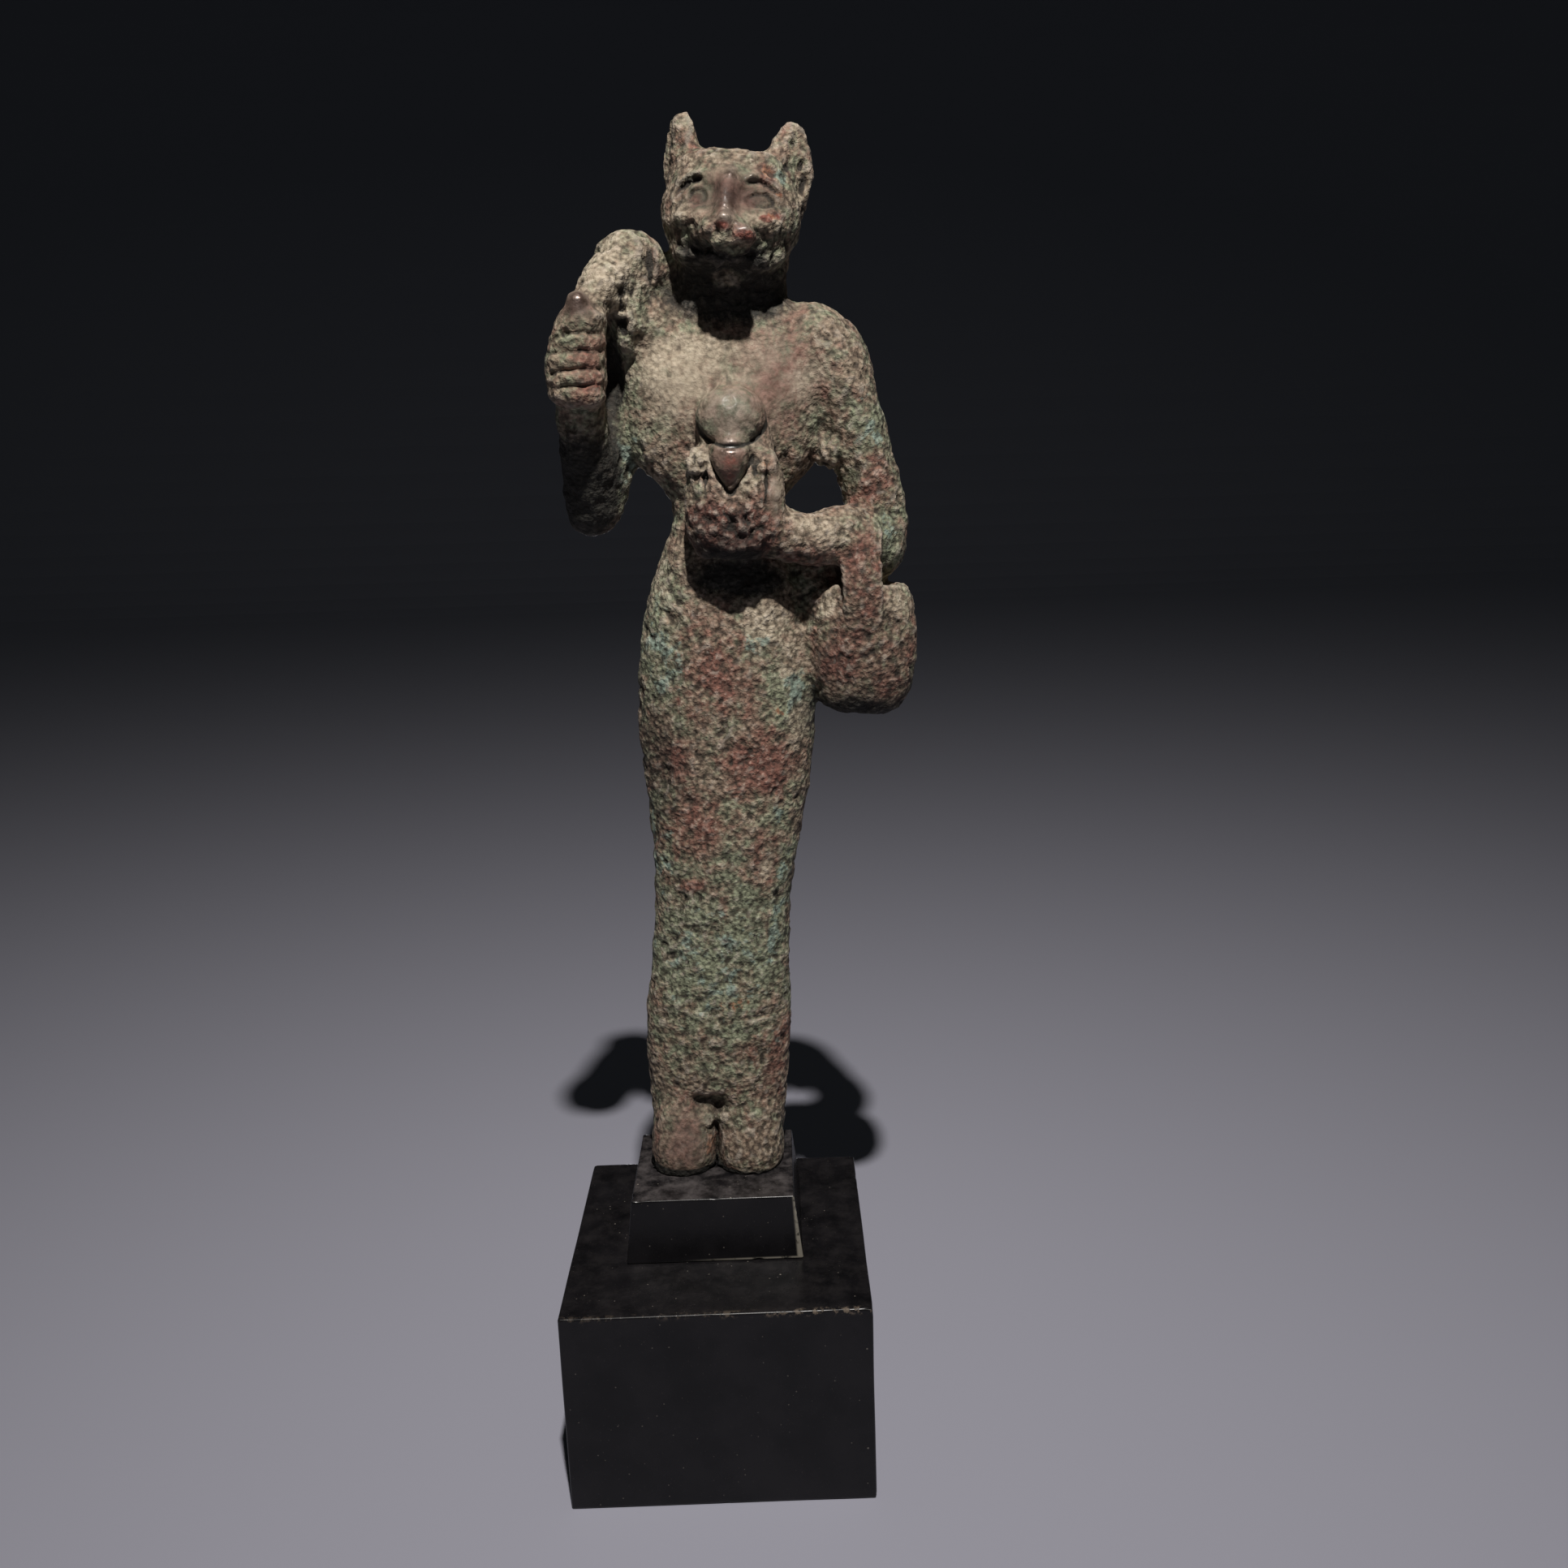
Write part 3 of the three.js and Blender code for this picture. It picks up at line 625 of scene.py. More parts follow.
def bead_row(reach):
    """A row of beads in a U on the collar's curved face: a cord whose thickness swells and pinches once for
    each bead. Its place is collar_y less the bulge times the root of 1 - across^2 - (round x down)^2."""
    share = np.linspace(0, 1, 260)
    angle = math.pi * (1 + share)
    across, down = reach * np.cos(angle), reach * np.sin(angle)
    path = np.stack([aegis_x + collar_half * across,
                     collar_y - collar_bulge * np.sqrt(1 - across ** 2 - (collar_round * down) ** 2),
                     collar_z + collar_drop * down], axis=1)
    run = np.concatenate([[0], np.cumsum(np.linalg.norm(np.diff(path, axis=0), axis=1))])
    size = bead_half * (0.62 + 0.38 * np.abs(np.sin(math.pi * run / bead_step)))
    return limb(np.column_stack([path, size, size]), 0.02, around=16, along=260)


aegis = [
    loft([
        [61.5, aegis_x, 2.6, -6.9, -3.8],
        [62.3, aegis_x, 3.6, -7.8, -3.4],
        [64.2, aegis_x, 4.25, -8.4, -3.2],
        [66.8, aegis_x, 4.35, -8.4, -3],
        [69.2, aegis_x, 4.1, -7.8, -3],
        [71, aegis_x, 3.4, -7, -3],
    ], roundness=0.85, along=60),
    *[bead_row(0.9 - bead_pitch * row) for row in range(bead_rows)],
    lump((aegis_x - 0.45, -5.5, 73.4), (3.15, 2.9, 3.1), around=60),
    lump((aegis_x - 0.35, -7.8, 70.3), (1.65, 1.6, 2.1), 0.1),
    lump((aegis_x, -4.6, 70.6), (3.4, 3, 4.4)),
    lump((aegis_x - 3.05, -6.6, 69.6), (1.1, 1.3, 1.5)),
    lump((aegis_x + 2.75, -6.6, 69.6), (1.1, 1.3, 1.5)),
]

# The situla: a flattened bag with a dished top, hung over the forearm on a broad band. It is cast solid
# with the figure, and a web of metal joins it to the hip and the forearm.
situla_rows = [
    [46.9, 12.7, 2.2, -2.6, 0.2],
    [47.7, 12.7, 3.7, -3.6, 1.2],
    [50, 12.7, 4.9, -4.5, 2],
    [53.5, 12.6, 5.2, -4.8, 2.3],
    [56.6, 12.5, 5, -4.6, 2.1],
    [58.5, 12.4, 4.4, -4.2, 1.8],
    [59.2, 12.4, 3.7, -3.8, 1.4],
    [59, 12.4, 2.9, -3, 0.7],
    [58.5, 12.4, 2, -2.2, 0],
    [58.3, 12.4, 0.8, -1.6, -0.8],
]
situla = [
    loft(situla_rows, roundness=0.9, along=90),
    limb([
        [12.4, -4.6, 55, 1.7, 0.5],
        [12.3, -5, 57.6, 1.85, 0.6],
        [12, -4.9, 60.6, 1.95, 0.7],
        [11.9, -3.9, 63.6, 1.9, 0.8],
        [11.8, -2.2, 65.2, 1.8, 0.8],
    ], round_end=0.12),
    lump((10.6, -0.2, 60.2), (3.6, 1.8, 3.4), 0.25),
    lump((8.2, 0.2, 58.6), (3.2, 2.6, 4.2)),
]

# One pour: the forms are fused into a single outer skin by a voxel remesh, then its steps are relaxed away
# and its hollows are filled a little, as wax and metal round off inner corners.
fuse_size = 0.37 * MM
figure = mesh_piece("bastet_cast", [
    body, neck, foot(-1), foot(1), *head, *raised_arm, *sistrum, *hand, *bent_arm, *aegis, *situla])
fuse = figure.modifiers.new("fuse", "REMESH")
fuse.mode = "VOXEL"
fuse.voxel_size = fuse_size
shape = bpy.data.meshes.new_from_object(figure.evaluated_get(bpy.context.evaluated_depsgraph_get()))
figure.modifiers.clear()
figure.data = shape


def coordinates(mesh):
    """The places of a mesh's points."""
    values = np.empty(len(mesh.vertices) * 3, np.float32)
    mesh.vertices.foreach_get("co", values)
    return values.reshape(-1, 3).astype(float)


def normals(mesh):
    """Which way is out at each of a mesh's points."""
    values = np.empty(len(mesh.vertices) * 3, np.float32)
    mesh.vertex_normals.foreach_get("vector", values)
    return values.reshape(-1, 3).astype(float)


def move(mesh, points):
    """Puts a mesh's points at new places."""
    mesh.vertices.foreach_set("co", points.ravel().astype(np.float32))
    mesh.update()


def neighbour_mean(edges, values):
    """The mean of each point's neighbours along the edges, for one value or several a point."""
    count = np.bincount(edges.ravel(), minlength=len(values)).clip(1)
    columns = values.reshape(len(values), -1).T
    total = [np.bincount(edges[:, 0], column[edges[:, 1]], len(values))
             + np.bincount(edges[:, 1], column[edges[:, 0]], len(values)) for column in columns]
    return (np.array(total) / count).T.reshape(values.shape)


def edge_pairs(mesh):
    """The two points of each edge, as rows."""
    pairs = np.empty(len(mesh.edges) * 2, np.int32)
    mesh.edges.foreach_get("vertices", pairs)
    return pairs.reshape(-1, 2)


def relax(mesh, rounds, fill=0.0):
    """Smooths a mesh. Each point goes half way to its neighbours' mean and then a little more than half way
    back out, so that the form doesn't shrink. With fill, a point in a hollow goes further out still."""
    inwards, back_out = 0.5, 0.53
    points, edges = coordinates(mesh), edge_pairs(mesh)
    for _ in range(rounds):
        points += inwards * (neighbour_mean(edges, points) - points)
        back = neighbour_mean(edges, points) - points
        points -= back_out * back
        if fill:
            move(mesh, points)
            outward = normals(mesh)
            height = np.sum(back * outward, axis=1)
            points += outward * (fill * np.maximum(height, 0))[:, None]
    move(mesh, points)


relax(figure.data, 8, fill=0.9)


def bell(points, centre, spread):
    """1 at a centre, falling off on each axis as a bell curve of that spread."""
    return np.exp(-np.sum(((points - np.array(centre)) / np.array(spread)) ** 2, axis=1))


def ease(value, low, high):
    """A smooth step from 0 at low to 1 at high; low may be the larger of the two."""
    share = np.clip((value - low) / (high - low), 0, 1)
    return share * share * (3 - 2 * share)


def refine(mesh, marked):
    """Splits the faces whose points are marked into four, so that fine carving has points to move."""
    build = bmesh.new()
    build.from_mesh(mesh)
    edges = [edge for edge in build.edges if marked[edge.verts[0].index] and marked[edge.verts[1].index]]
    bmesh.ops.subdivide_edges(build, edges=edges, cuts=1, use_grid_fill=True)
    bmesh.ops.triangulate(build, faces=[face for face in build.faces if len(face.verts) > 4])
    build.to_mesh(mesh)
    build.free()


# The sole is cut level where the figure stands on the riser.
cut = bmesh.new()
cut.from_mesh(figure.data)
sole = bmesh.ops.bisect_plane(cut, geom=cut.verts[:] + cut.edges[:] + cut.faces[:], dist=1e-7,
                              plane_co=figure_foot, plane_no=(0, 0, 1), clear_inner=True)
rim = [part for part in sole["geom_cut"] if isinstance(part, bmesh.types.BMEdge)]
bmesh.ops.triangle_fill(cut, edges=rim, use_beauty=True, normal=(0, 0, -1))
cut.to_mesh(figure.data)
cut.free()

# The carving, worked in the wax before the pour and softened since. The face, the hand and the aegis have the
# finest, so their faces are split first. Depths are in hundredths of the figure's height.
in_head = local(coordinates(figure.data), head_frame)
in_figure = local(coordinates(figure.data), figure_frame)
refine(figure.data, (
    (bell(in_head, (0.2, -6, 0), (4.4, 4.5, 4.2)) > 0.35)
    | (bell(in_figure, (0.2, -8, 70), (4.2, 3.5, 6.5)) > 0.5)
    | (bell(in_figure, (-13.4, -8.6, 78.5), (3.2, 3, 5)) > 0.5)))

face = local(coordinates(figure.data), head_frame)
x, y, z = face.T
front = ease(y, -1.2, -3) * ease(z, -6.5, -5) * ease(z, 5.6, 4.4)
forward = np.zeros(len(face))

# Brows: a ridge over a sunken crescent, both along a curve that drops by the square of the distance outwards.
# The brow on the viewer's left is the longer and deeper one.
out = np.abs(x)
left = x < 0
brow_span = ease(out, np.where(left, 1.8, 1.2), np.where(left, 2.8, 2.0)) * ease(out, 4.9, 4.1)
crescent = z - (2.2 - 0.26 * (out - 2.5) ** 2)
sunk = np.where(left, 0.5, 0.26) * np.exp(-(crescent / np.where(left, 0.26, 0.19)) ** 2)
forward += brow_span * (0.3 * np.exp(-((crescent - 0.62) / 0.4) ** 2) - sunk)
ball_high, groove_deep, lids_high, socket_deep = 0.16, 0.13, 0.13, 0.26


def eye(at_x, at_z, half, high, slant):
    """A worn eye: a low ball, a groove round it and the ring of its lids, by the distance from its middle."""
    along = ((x - at_x) * math.cos(slant) + (z - at_z) * math.sin(slant)) / half
    up = ((z - at_z) * math.cos(slant) - (x - at_x) * math.sin(slant)) / high
    away = np.hypot(along, up)
    ball = ball_high * np.sqrt(np.clip(1 - (away / 0.72) ** 2, 0, 1))
    groove = -groove_deep * np.exp(-((away - 0.84) / 0.17) ** 2)
    lids = lids_high * np.exp(-((away - 1.18) / 0.19) ** 2)
    return ball + groove + lids - socket_deep * np.exp(-(away / 1.9) ** 2)


eyes = eye(-2.55, 0.69, 0.82, 0.72, -0.1) + eye(2.84, 0.72, 1.2, 0.66, 0.1)
forward += eyes

# The nose is a narrow ridge that widens to its tip, between two hollows, with two low bumps on the forehead
# and a nostril each side. The mouth is a shadowed line under the pads, and the cheeks stand over hollow jaws.
nose_x = 0.12 - 0.06 * z
forward += 0.3 * np.exp(-((x - nose_x) / 0.8) ** 4) * ease(z, 3.2, 1.5) * ease(z, -1.8, -0.9)
forehead = bell(face, (0.3, -5, 2.7), (0.45, 2, 0.42)) + 0.7 * bell(face, (2.05, -5, 2.7), (0.42, 2, 0.34))
forward += 0.3 * forehead
forward -= 0.22 * np.exp(-((out - 1.35) / 0.4) ** 2) * ease(z, 2.2, 1.2) * ease(z, -1.6, -0.4)
forward -= 0.45 * np.exp(-((x - 0.85) / 0.22) ** 2 - ((z + 2.1) / 0.55) ** 2)
forward -= 0.3 * np.exp(-((x + 0.45) / 0.22) ** 2 - ((z + 2.2) / 0.5) ** 2)
mouth = z + 3.75 - 0.06 * x ** 2
forward -= 0.55 * np.exp(-(mouth / 0.3) ** 2) * ease(out, 3.2, 2.2)
forward -= 0.55 * (bell(face, (-3.6, -4, -2.9), (1.8, 4, 1.3)) + bell(face, (3.9, -4, -2.9), (1.8, 4, 1.3)))
forward += 0.35 * (bell(face, (-3.4, -4, -0.9), (1.7, 4, 0.8)) + bell(face, (3.8, -4, -0.8), (1.7, 4, 0.8)))
pupils = bell(face, (-2.55, -5, 0.69), (0.42, 3, 0.38)) + 0.8 * bell(face, (2.84, -5, 0.72), (0.6, 3, 0.33))
# Dark eye grooves and pupils, and painted shade in the sunken crescents under the brows.
eye_lines_and_brow_shade = ease(eyes, -0.12, -0.44) * 0.3 + 0.3 * pupils + brow_span * ease(sunk, 0.1, 0.4) * 0.75
eye_lines_and_brow_shade = front * eye_lines_and_brow_shade.clip(0, 1)
pits = np.max([bell(face, centre, spread) for centre, spread in (
    ((-5.85, -0.6, 6), (0.26, 1.6, 1)), ((4.56, -1.3, 4.1), (0.3, 1.2, 0.36)),
    ((5.7, 0, 4.6), (0.25, 1.2, 0.5)), ((5.95, 0, 3.2), (0.25, 1.2, 0.8)),
    ((4.9, -0.8, 6.2), (0.25, 1.2, 0.3)))], axis=0)
face[:, 1] -= forward * front - 0.8 * pits

# The hands, feet and dress, in the figure's own frame. First a worn split between the feet, and a ragged pit
# above it where the metal has gone, with two crumbs left standing in it.
form = local(carried(face, head_frame), figure_frame)
x, y, z = form.T
towards = np.zeros(len(form))
front = ease(y, -0.5, -2)
towards -= front * 1.8 * np.exp(-((x - 0.05) / 0.33) ** 2) * ease(z, 4.6, 3.6)
towards -= front * 1.2 * np.exp(-((x + 0.9) / 1.75) ** 4 - ((z - 6.6 + 0.1 * x) / 1) ** 2)
neck_of_pit = ease(z, 3.2, 4.2) * ease(z, 7, 5.8)
towards -= front * 0.9 * np.exp(-((x + 0.2 - 0.25 * (z - 5)) / 0.5) ** 2) * neck_of_pit
crumbs = bell(form, (0.7, -3.4, 5.5), (0.6, 2, 0.5)) + bell(form, (-0.9, -3.4, 4.7), (0.6, 2, 0.45))
towards += front * 0.4 * crumbs
# A thin ledge across the viewer's right of the dress.
towards -= front * 0.32 * np.exp(-((z - 16.5 - 0.1 * (x - 4)) / 0.22) ** 2) * ease(x, 1.8, 2.8)
# Breasts, low and full.
for at_x, full in ((3.9, 0.45), (-5.2, 0.4)):
    towards += full * bell(form, (at_x, -4.4, 75.6), (3, 3.5, 3.4))
# The lines between the fingers, and the slot beside the sistrum's rim.
in_hand = ease(x, -10.4, -11.2) * ease(y, -5.6, -6.6)
finger_lines, line_deep, line_wide = (79.95, 78.5, 77.0, 75.6), 0.26, 0.22
slope = 0.12 * (x + 13.4) - 0.22 * lattice_noise(form, 1.3, 45)
fingers = in_hand * sum(np.exp(-((z - line - slope) / line_wide) ** 2) for line in finger_lines)
towards -= line_deep * fingers
slot = bell(form, (-7.6, -3.4, 86.3), (0.3, 2.5, 1.7))
towards -= 0.8 * slot
# The lion's head on the aegis: a crease under its dome, a hollow round its snout, a strip beside it.
from_dome = np.hypot((x + 0.15) / 3.2, (z - 73.9) / 2.75)
from_snout = np.hypot((x + 0.05) / (1.75 - 0.35 * (70.5 - z).clip(0, 3)), (z - 69.7) / 2.2)
aegis_front = ease(y, -4.5, -5.5) * ease(z, 63.5, 65.5) * ease(z, 78, 77)
crease = np.exp(-((from_dome - 1) / 0.085) ** 2) * (1 - 0.9 * ease(z, 72.4, 74.8) * ease(x, 3, 1))
hollow = np.exp(-((from_snout - 1.12) / 0.13) ** 2) * ease(z, 71, 70.2)
beside = bell(form, (3.1, -7.5, 68), (0.22, 2.5, 2.4)) + bell(form, (-2.2, -7.5, 68.3), (0.25, 2.5, 1.6))
towards -= aegis_front * (0.42 * crease + 0.5 * hollow + 0.4 * beside)
towards += 0.35 * bell(form, (3.95, -7, 68), (0.5, 2.5, 2.8))
aegis_lines = aegis_front * np.max([0.7 * crease, 0.8 * hollow, 0.8 * beside], axis=0)
# The pitted wall between the sistrum's two sides, and the deep recess between the fist and the upper arm.
wall = bell(form, (-9.6, -4, 82.2), (1.6, 2.4, 3.6))
wall_pits = lattice_noise(form * (1, 1, 0.6), 0.9, 41) + 0.6 * lattice_noise(form, 0.5, 42)
towards += wall * (0.1 + 0.75 * wall_pits)
wall_pits = wall * ease(wall_pits, 0.12, -0.25)
towards -= 2 * bell(form, (-11, -2.3, 77.3), (1, 3, 4.2))
# Crust on the throat below the chin, and a fin of crust on the inner side of the raised elbow.
throat = bell(form, (-0.85, -4.6, 85.3), (1.25, 2, 0.62))
towards += throat * (0.42 + 0.4 * lattice_noise(form, 0.55, 43))
form[:, 1] -= towards
fin = bell(form, (-9.9, -1.5, 69.6), (0.9, 2, 4.6))
form[:, 0] += fin * (0.15 + 0.35 * lattice_noise(form, 0.8, 44))
move(figure.data, carried(form, figure_frame))
relax(figure.data, 1)


def cellular(places, size, seed):
    """Distance to the nearest of the random points that lie one to a cell of that size, as a share of it."""
    scaled = places / size
    home = np.floor(scaled).astype(np.int64)
    nearest = np.full(len(places), 9.0)
    for step in np.ndindex(3, 3, 3):
        cell = home + np.array(step) - 1
        seat = cell + np.stack([hashed(cell, seed), hashed(cell, seed + 1), hashed(cell, seed + 2)], axis=1)
        nearest = np.minimum(nearest, np.linalg.norm(scaled - seat, axis=1))
    return nearest


# The corrosion that grew on the bronze in the ground: a crust of rounded grains with pits between them, and
# clusters of lumps. It is thin on the face, the chest, the thumb and the lion's head, which are worn smooth.
points, outward = coordinates(figure.data), normals(figure.data)
face, form = local(points, head_frame), local(points, figure_frame)


def spots(on_figure, on_head=()):
    """The strongest of several soft spots at each point, in the figure's frame and in the head's. A spot is
    its middle x, y, z, its spread on each of them, and its strength."""
    bells = [spot[6] * bell(form, spot[:3], spot[3:6]) for spot in on_figure]
    bells += [spot[6] * bell(face, spot[:3], spot[3:6]) for spot in on_head]
    return np.max(bells, axis=0)


dome = bell(form, (-0.15, -8.2, 74), (3.4, 3, 3))
snout = bell(form, (-0.05, -9, 69.8), (1.7, 2.4, 2.2))
brow = bell(face, (0.3, -5.6, 1), (3.6, 3, 2.6))
smooth_face = bell(face, (0, -5, 1.2), (5, 4, 2.9))
lower_face = bell(face, (0.2, -4.5, -3.6), (5.5, 4.5, 1.9))
thumb = bell(form, (-13.2, -9.4, 82.6), (1.3, 1.6, 1.2))
fist_part = bell(form, (-13.4, -7.5, 78), (3.6, 3.5, 4.6))
right_chest = bell(form, (4.2, -4.6, 77.5), (4.2, 3.5, 5.5))
left_chest = bell(form, (-5, -4.2, 76.5), (5.5, 4, 6.5))
left_foot = bell(form, (-3, -4.5, 2.6), (3.3, 3.5, 4.2))
strip = bell(form, (3.95, -7.6, 67.4), (0.75, 2, 3.2))
clustered = spots(
    [(-3, -6.9, 69.3, 1.5, 2.2, 2.3, 1), (2.2, -7.6, 69.2, 1, 2.2, 1.6, 0.9),
     (0.3, -8, 64.8, 4.6, 2.6, 3, 0.85), (8.4, -1.5, 70.6, 1.6, 2.5, 2.2, 0.9),
     (-7.4, -2.5, 69.2, 2.2, 2.5, 1.8, 0.45), (-7, -3.2, 60.5, 1.3, 2.5, 3.5, 0.35),
     (10, -3, 57.8, 5, 2.5, 1.1, 0.4)],
    [(-3.6, -4.5, -3.3, 1.7, 3, 1.4, 0.75), (3.9, -4, -3, 1.8, 3, 1.8, 0.8),
     (-0.9, -5.4, -4.6, 1.7, 2, 0.8, 0.7)])
# Rubbed bright: the nose, two bumps of the forehead, a muzzle pad, the thumb and the lion's snout.
polish = spots(
    [(-13.2, -9.6, 82.9, 0.9, 1.2, 0.8, 0.9), (-0.2, -9.2, 71, 0.8, 1.5, 0.8, 0.9),
     (-0.1, -8.2, 74, 3, 3, 2.6, 0.15), (3.95, -7.9, 66.5, 0.4, 1.5, 1.5, 0.5)],
    [(0.3, -7, -0.7, 0.55, 1.5, 1, 1), (1.65, -7.2, -2, 0.6, 1.2, 0.45, 0.55),
     (0.3, -5, 2.7, 0.5, 1.8, 0.5, 1), (2.05, -5, 2.65, 0.45, 1.8, 0.4, 0.9),
     (0.2, -7.6, -1.5, 0.6, 1, 0.6, 1)])
rough = 1 - 0.5 * dome - 0.75 * snout - 0.68 * brow - 0.8 * thumb - 0.62 * right_chest - 0.5 * left_chest
rough = rough - 0.35 * smooth_face - 0.5 * left_foot - 0.6 * strip - 0.45 * fist_part + 0.35 * lower_face
roughest = 1.4
rough = rough.clip(0.12, roughest) * (1 - 0.6 * polish)


def turned_noise(size, seed):
    """Lattice noise on axes turned by the seed, so that no two octaves line up."""
    axes = np.array(Matrix.Rotation(0.9 * seed, 3, (0.3, 0.5, 0.8)))
    return lattice_noise(points @ axes, size, seed)


swell = turned_noise(6.5 * MM, 21) + 0.6 * turned_noise(3.2 * MM, 22)
lumps = 0.62 - cellular(points + 0.25 * MM * outward, 1.05 * MM, 31)
grains = turned_noise(1.25 * MM, 51) + 0.9 * turned_noise(0.72 * MM, 52)
fine = turned_noise(0.47 * MM, 61)
holes = ease(turned_noise(1.5 * MM, 71) + 0.9 * turned_noise(0.75 * MM, 72), 0.50, 0.95)
grains_high, fine_high, holes_deep = 0.13, 0.08, 0.22
swell_high, lumps_high = 0.1, 1.1
crust_mm = rough * (grains_high * grains + fine_high * fine - holes_deep * holes)
crust_mm = swell_high * swell + crust_mm + lumps_high * clustered * lumps
standing = ease(points[:, 2] - figure_foot[2], 0.02 * MM, 0.6 * MM)
points = points + outward * (crust_mm * standing * MM)[:, None]
points[:, 2] = np.maximum(points[:, 2], figure_foot[2])
move(figure.data, points)

# Where each kind of corrosion lies, kept on the points for the finish to read. First the hollows between the
# grains: how far a point lies under the mean of its neighbours, and they under theirs.
edges = edge_pairs(figure.data)
under = np.sum((neighbour_mean(edges, points) - points) * outward, axis=1) / (0.08 * MM)
cavity = (0.5 + 0.35 * under + 0.35 * neighbour_mean(edges, under)).clip(0, 1)
# Red copper oxide, mostly on the hips, the collar, the situla and the fist.
red = spots(
    [(12.7, -2.5, 52, 6, 5, 5, 0.6), (12, -5, 60, 2.5, 2.5, 5, 0.85), (0.3, -8, 64, 4.8, 3, 3.2, 1.1),
     (-0.05, -9.5, 68.6, 0.9, 1.8, 1.2, 1), (-0.05, -9, 70.2, 1.7, 2, 1.6, 0.55),
     (3.6, -4.2, 42.3, 3.6, 3, 3.4, 1), (-1, -4.2, 51, 3.2, 3, 4.2, 0.8), (-3.3, -4, 35.8, 3.2, 3, 3.6, 0.85),
     (-4.5, -4, 48, 0.55, 2, 0.55, 1), (4.2, -3.5, 32.7, 1.6, 3, 3, 0.7), (-3.8, -3.8, 30, 2.2, 3, 1.1, 0.8),
     (5.6, -2, 12.5, 2, 3, 5, 0.7), (-4.6, -4, 42.5, 1.8, 3, 2.4, 0.6), (12.7, -2.6, 68.5, 2, 2.5, 3.6, 0.75),
     (-12.6, -9, 76.5, 1.8, 3, 3, 0.5), (-13.2, -9.4, 82.6, 1.3, 1.6, 1.2, 0.8),
     (4.6, -4.2, 78, 4, 3.5, 5.5, 0.5), (-3, -4.5, 3, 3, 3, 3.8, 0.6), (6.5, -5.5, 62.6, 4, 3, 2.2, 0.5),
     (-4.4, -4.2, 73.6, 1.2, 2, 2.2, 0.75)],
    [(3.2, -3.2, 3, 0.9, 2, 1, 1), (4, -4.5, -0.55, 1.5, 2, 0.55, 1), (1.6, -7.2, -2.3, 0.9, 1.5, 0.8, 1),
     (0.1, -7.6, -1.9, 0.8, 1.2, 0.5, 0.95), (0.6, -6, 0.9, 2.2, 2.5, 2, 0.75),
     (-2.6, -5, 0.7, 1.5, 2, 1.1, 0.6), (-5, 0, 6, 0.8, 2, 1.8, 0.6)])
# Green and blue carbonates, mostly on the shins, the left hip and the elbows, and in a streak down the dress.
streak = np.exp(-((form[:, 0] - 3 - 0.09 * form[:, 2]) / 0.85) ** 2 - ((form[:, 2] - 26.5) / 7) ** 4)
green = np.maximum(1.25 * streak * ease(form[:, 1], 0.6, -0.8), spots(
    [(-6.5, -2.5, 34, 2, 5, 7, 0.8), (-6.2, -2.8, 52, 2.4, 5, 6, 0.95), (0, -3, 22, 9, 6, 9, 0.75),
     (2.8, -4.2, 53.3, 2.2, 2.5, 1.8, 0.85), (6.4, -2.4, 49.5, 1.7, 2.5, 3.4, 1),
     (3.8, -3.8, 14, 4, 3, 4, 0.6), (5, -3, 37.5, 1.6, 3, 2, 0.6), (12.6, -2.4, 73.5, 2.6, 3, 3.4, 0.75),
     (-9.4, -2.6, 82.5, 2.4, 2.4, 4.5, 0.55), (-9.9, -1.6, 69.6, 1.4, 2.2, 5.2, 0.95),
     (14.6, -1.5, 64, 1.5, 3, 4, 0.7)],
    [(4.3, -2, 3.2, 0.8, 1.5, 1.1, 1), (0, -4.5, -3.4, 5.6, 4.5, 1.7, 0.5)]))
# Pale sandy earth, mostly on the left chest, the shoulder, the forearm and the situla's rim.
throat = bell(form, (-0.85, -4.8, 85.3), (1.3, 1.6, 0.7))
sand = np.maximum(throat, spots(
    [(-5, -4, 77, 5.5, 4.5, 7, 0.82), (6.4, -3.8, 77.4, 2.2, 3, 3.6, 0.75),
     (-11, -5, 85.5, 4.2, 4.5, 4.4, 0.85), (7.8, -5.6, 64.2, 4.2, 2.5, 2.2, 0.9),
     (-6.6, -2, 56, 2.6, 3.5, 7, 0.6), (0.7, -3.4, 5.5, 0.7, 2, 0.6, 1), (-0.9, -3.6, 4.7, 0.6, 2, 0.5, 1),
     (0, -3.9, 79, 8, 3, 4, 0.45), (3.2, -4.2, 55.4, 3.4, 2.5, 2.8, 0.95), (9, -3.6, 57.6, 1.4, 2.2, 1.8, 1),
     (15.4, -3.4, 57.6, 1.6, 2.2, 1.5, 1), (6.2, -3.5, 52.6, 2, 2.5, 3, 0.95),
     (6.9, -2, 47, 1.7, 2.5, 3.4, 0.75), (4.2, -3.6, 31.5, 0.9, 2, 2.4, 0.9),
     (3.95, -7.6, 67.4, 0.75, 2, 3.4, 0.6), (0.3, -7.8, 67.5, 4, 2.5, 2.2, 0.5),
     (-3, -7.2, 69.6, 1.4, 2, 2, 0.9), (2.6, -7.8, 69.6, 1, 2, 1.3, 0.7)],
    [(0, -3.5, 3.9, 5, 3.5, 1.5, 0.45), (-3.6, -4.2, -0.7, 2.4, 3, 1.1, 0.75),
     (3.2, -4.6, -0.9, 2, 3, 0.8, 0.7), (0.6, -6.8, -3, 1.9, 2, 0.8, 0.8),
     (5.7, -0.4, 1.5, 0.9, 2.5, 4, 0.7)]))
# Worn metal, on the same high parts that the crust is thin on.
metal = polish + 0.45 * dome + 0.4 * snout + 0.25 * brow + 0.6 * thumb + 0.35 * right_chest + 0.35 * left_foot
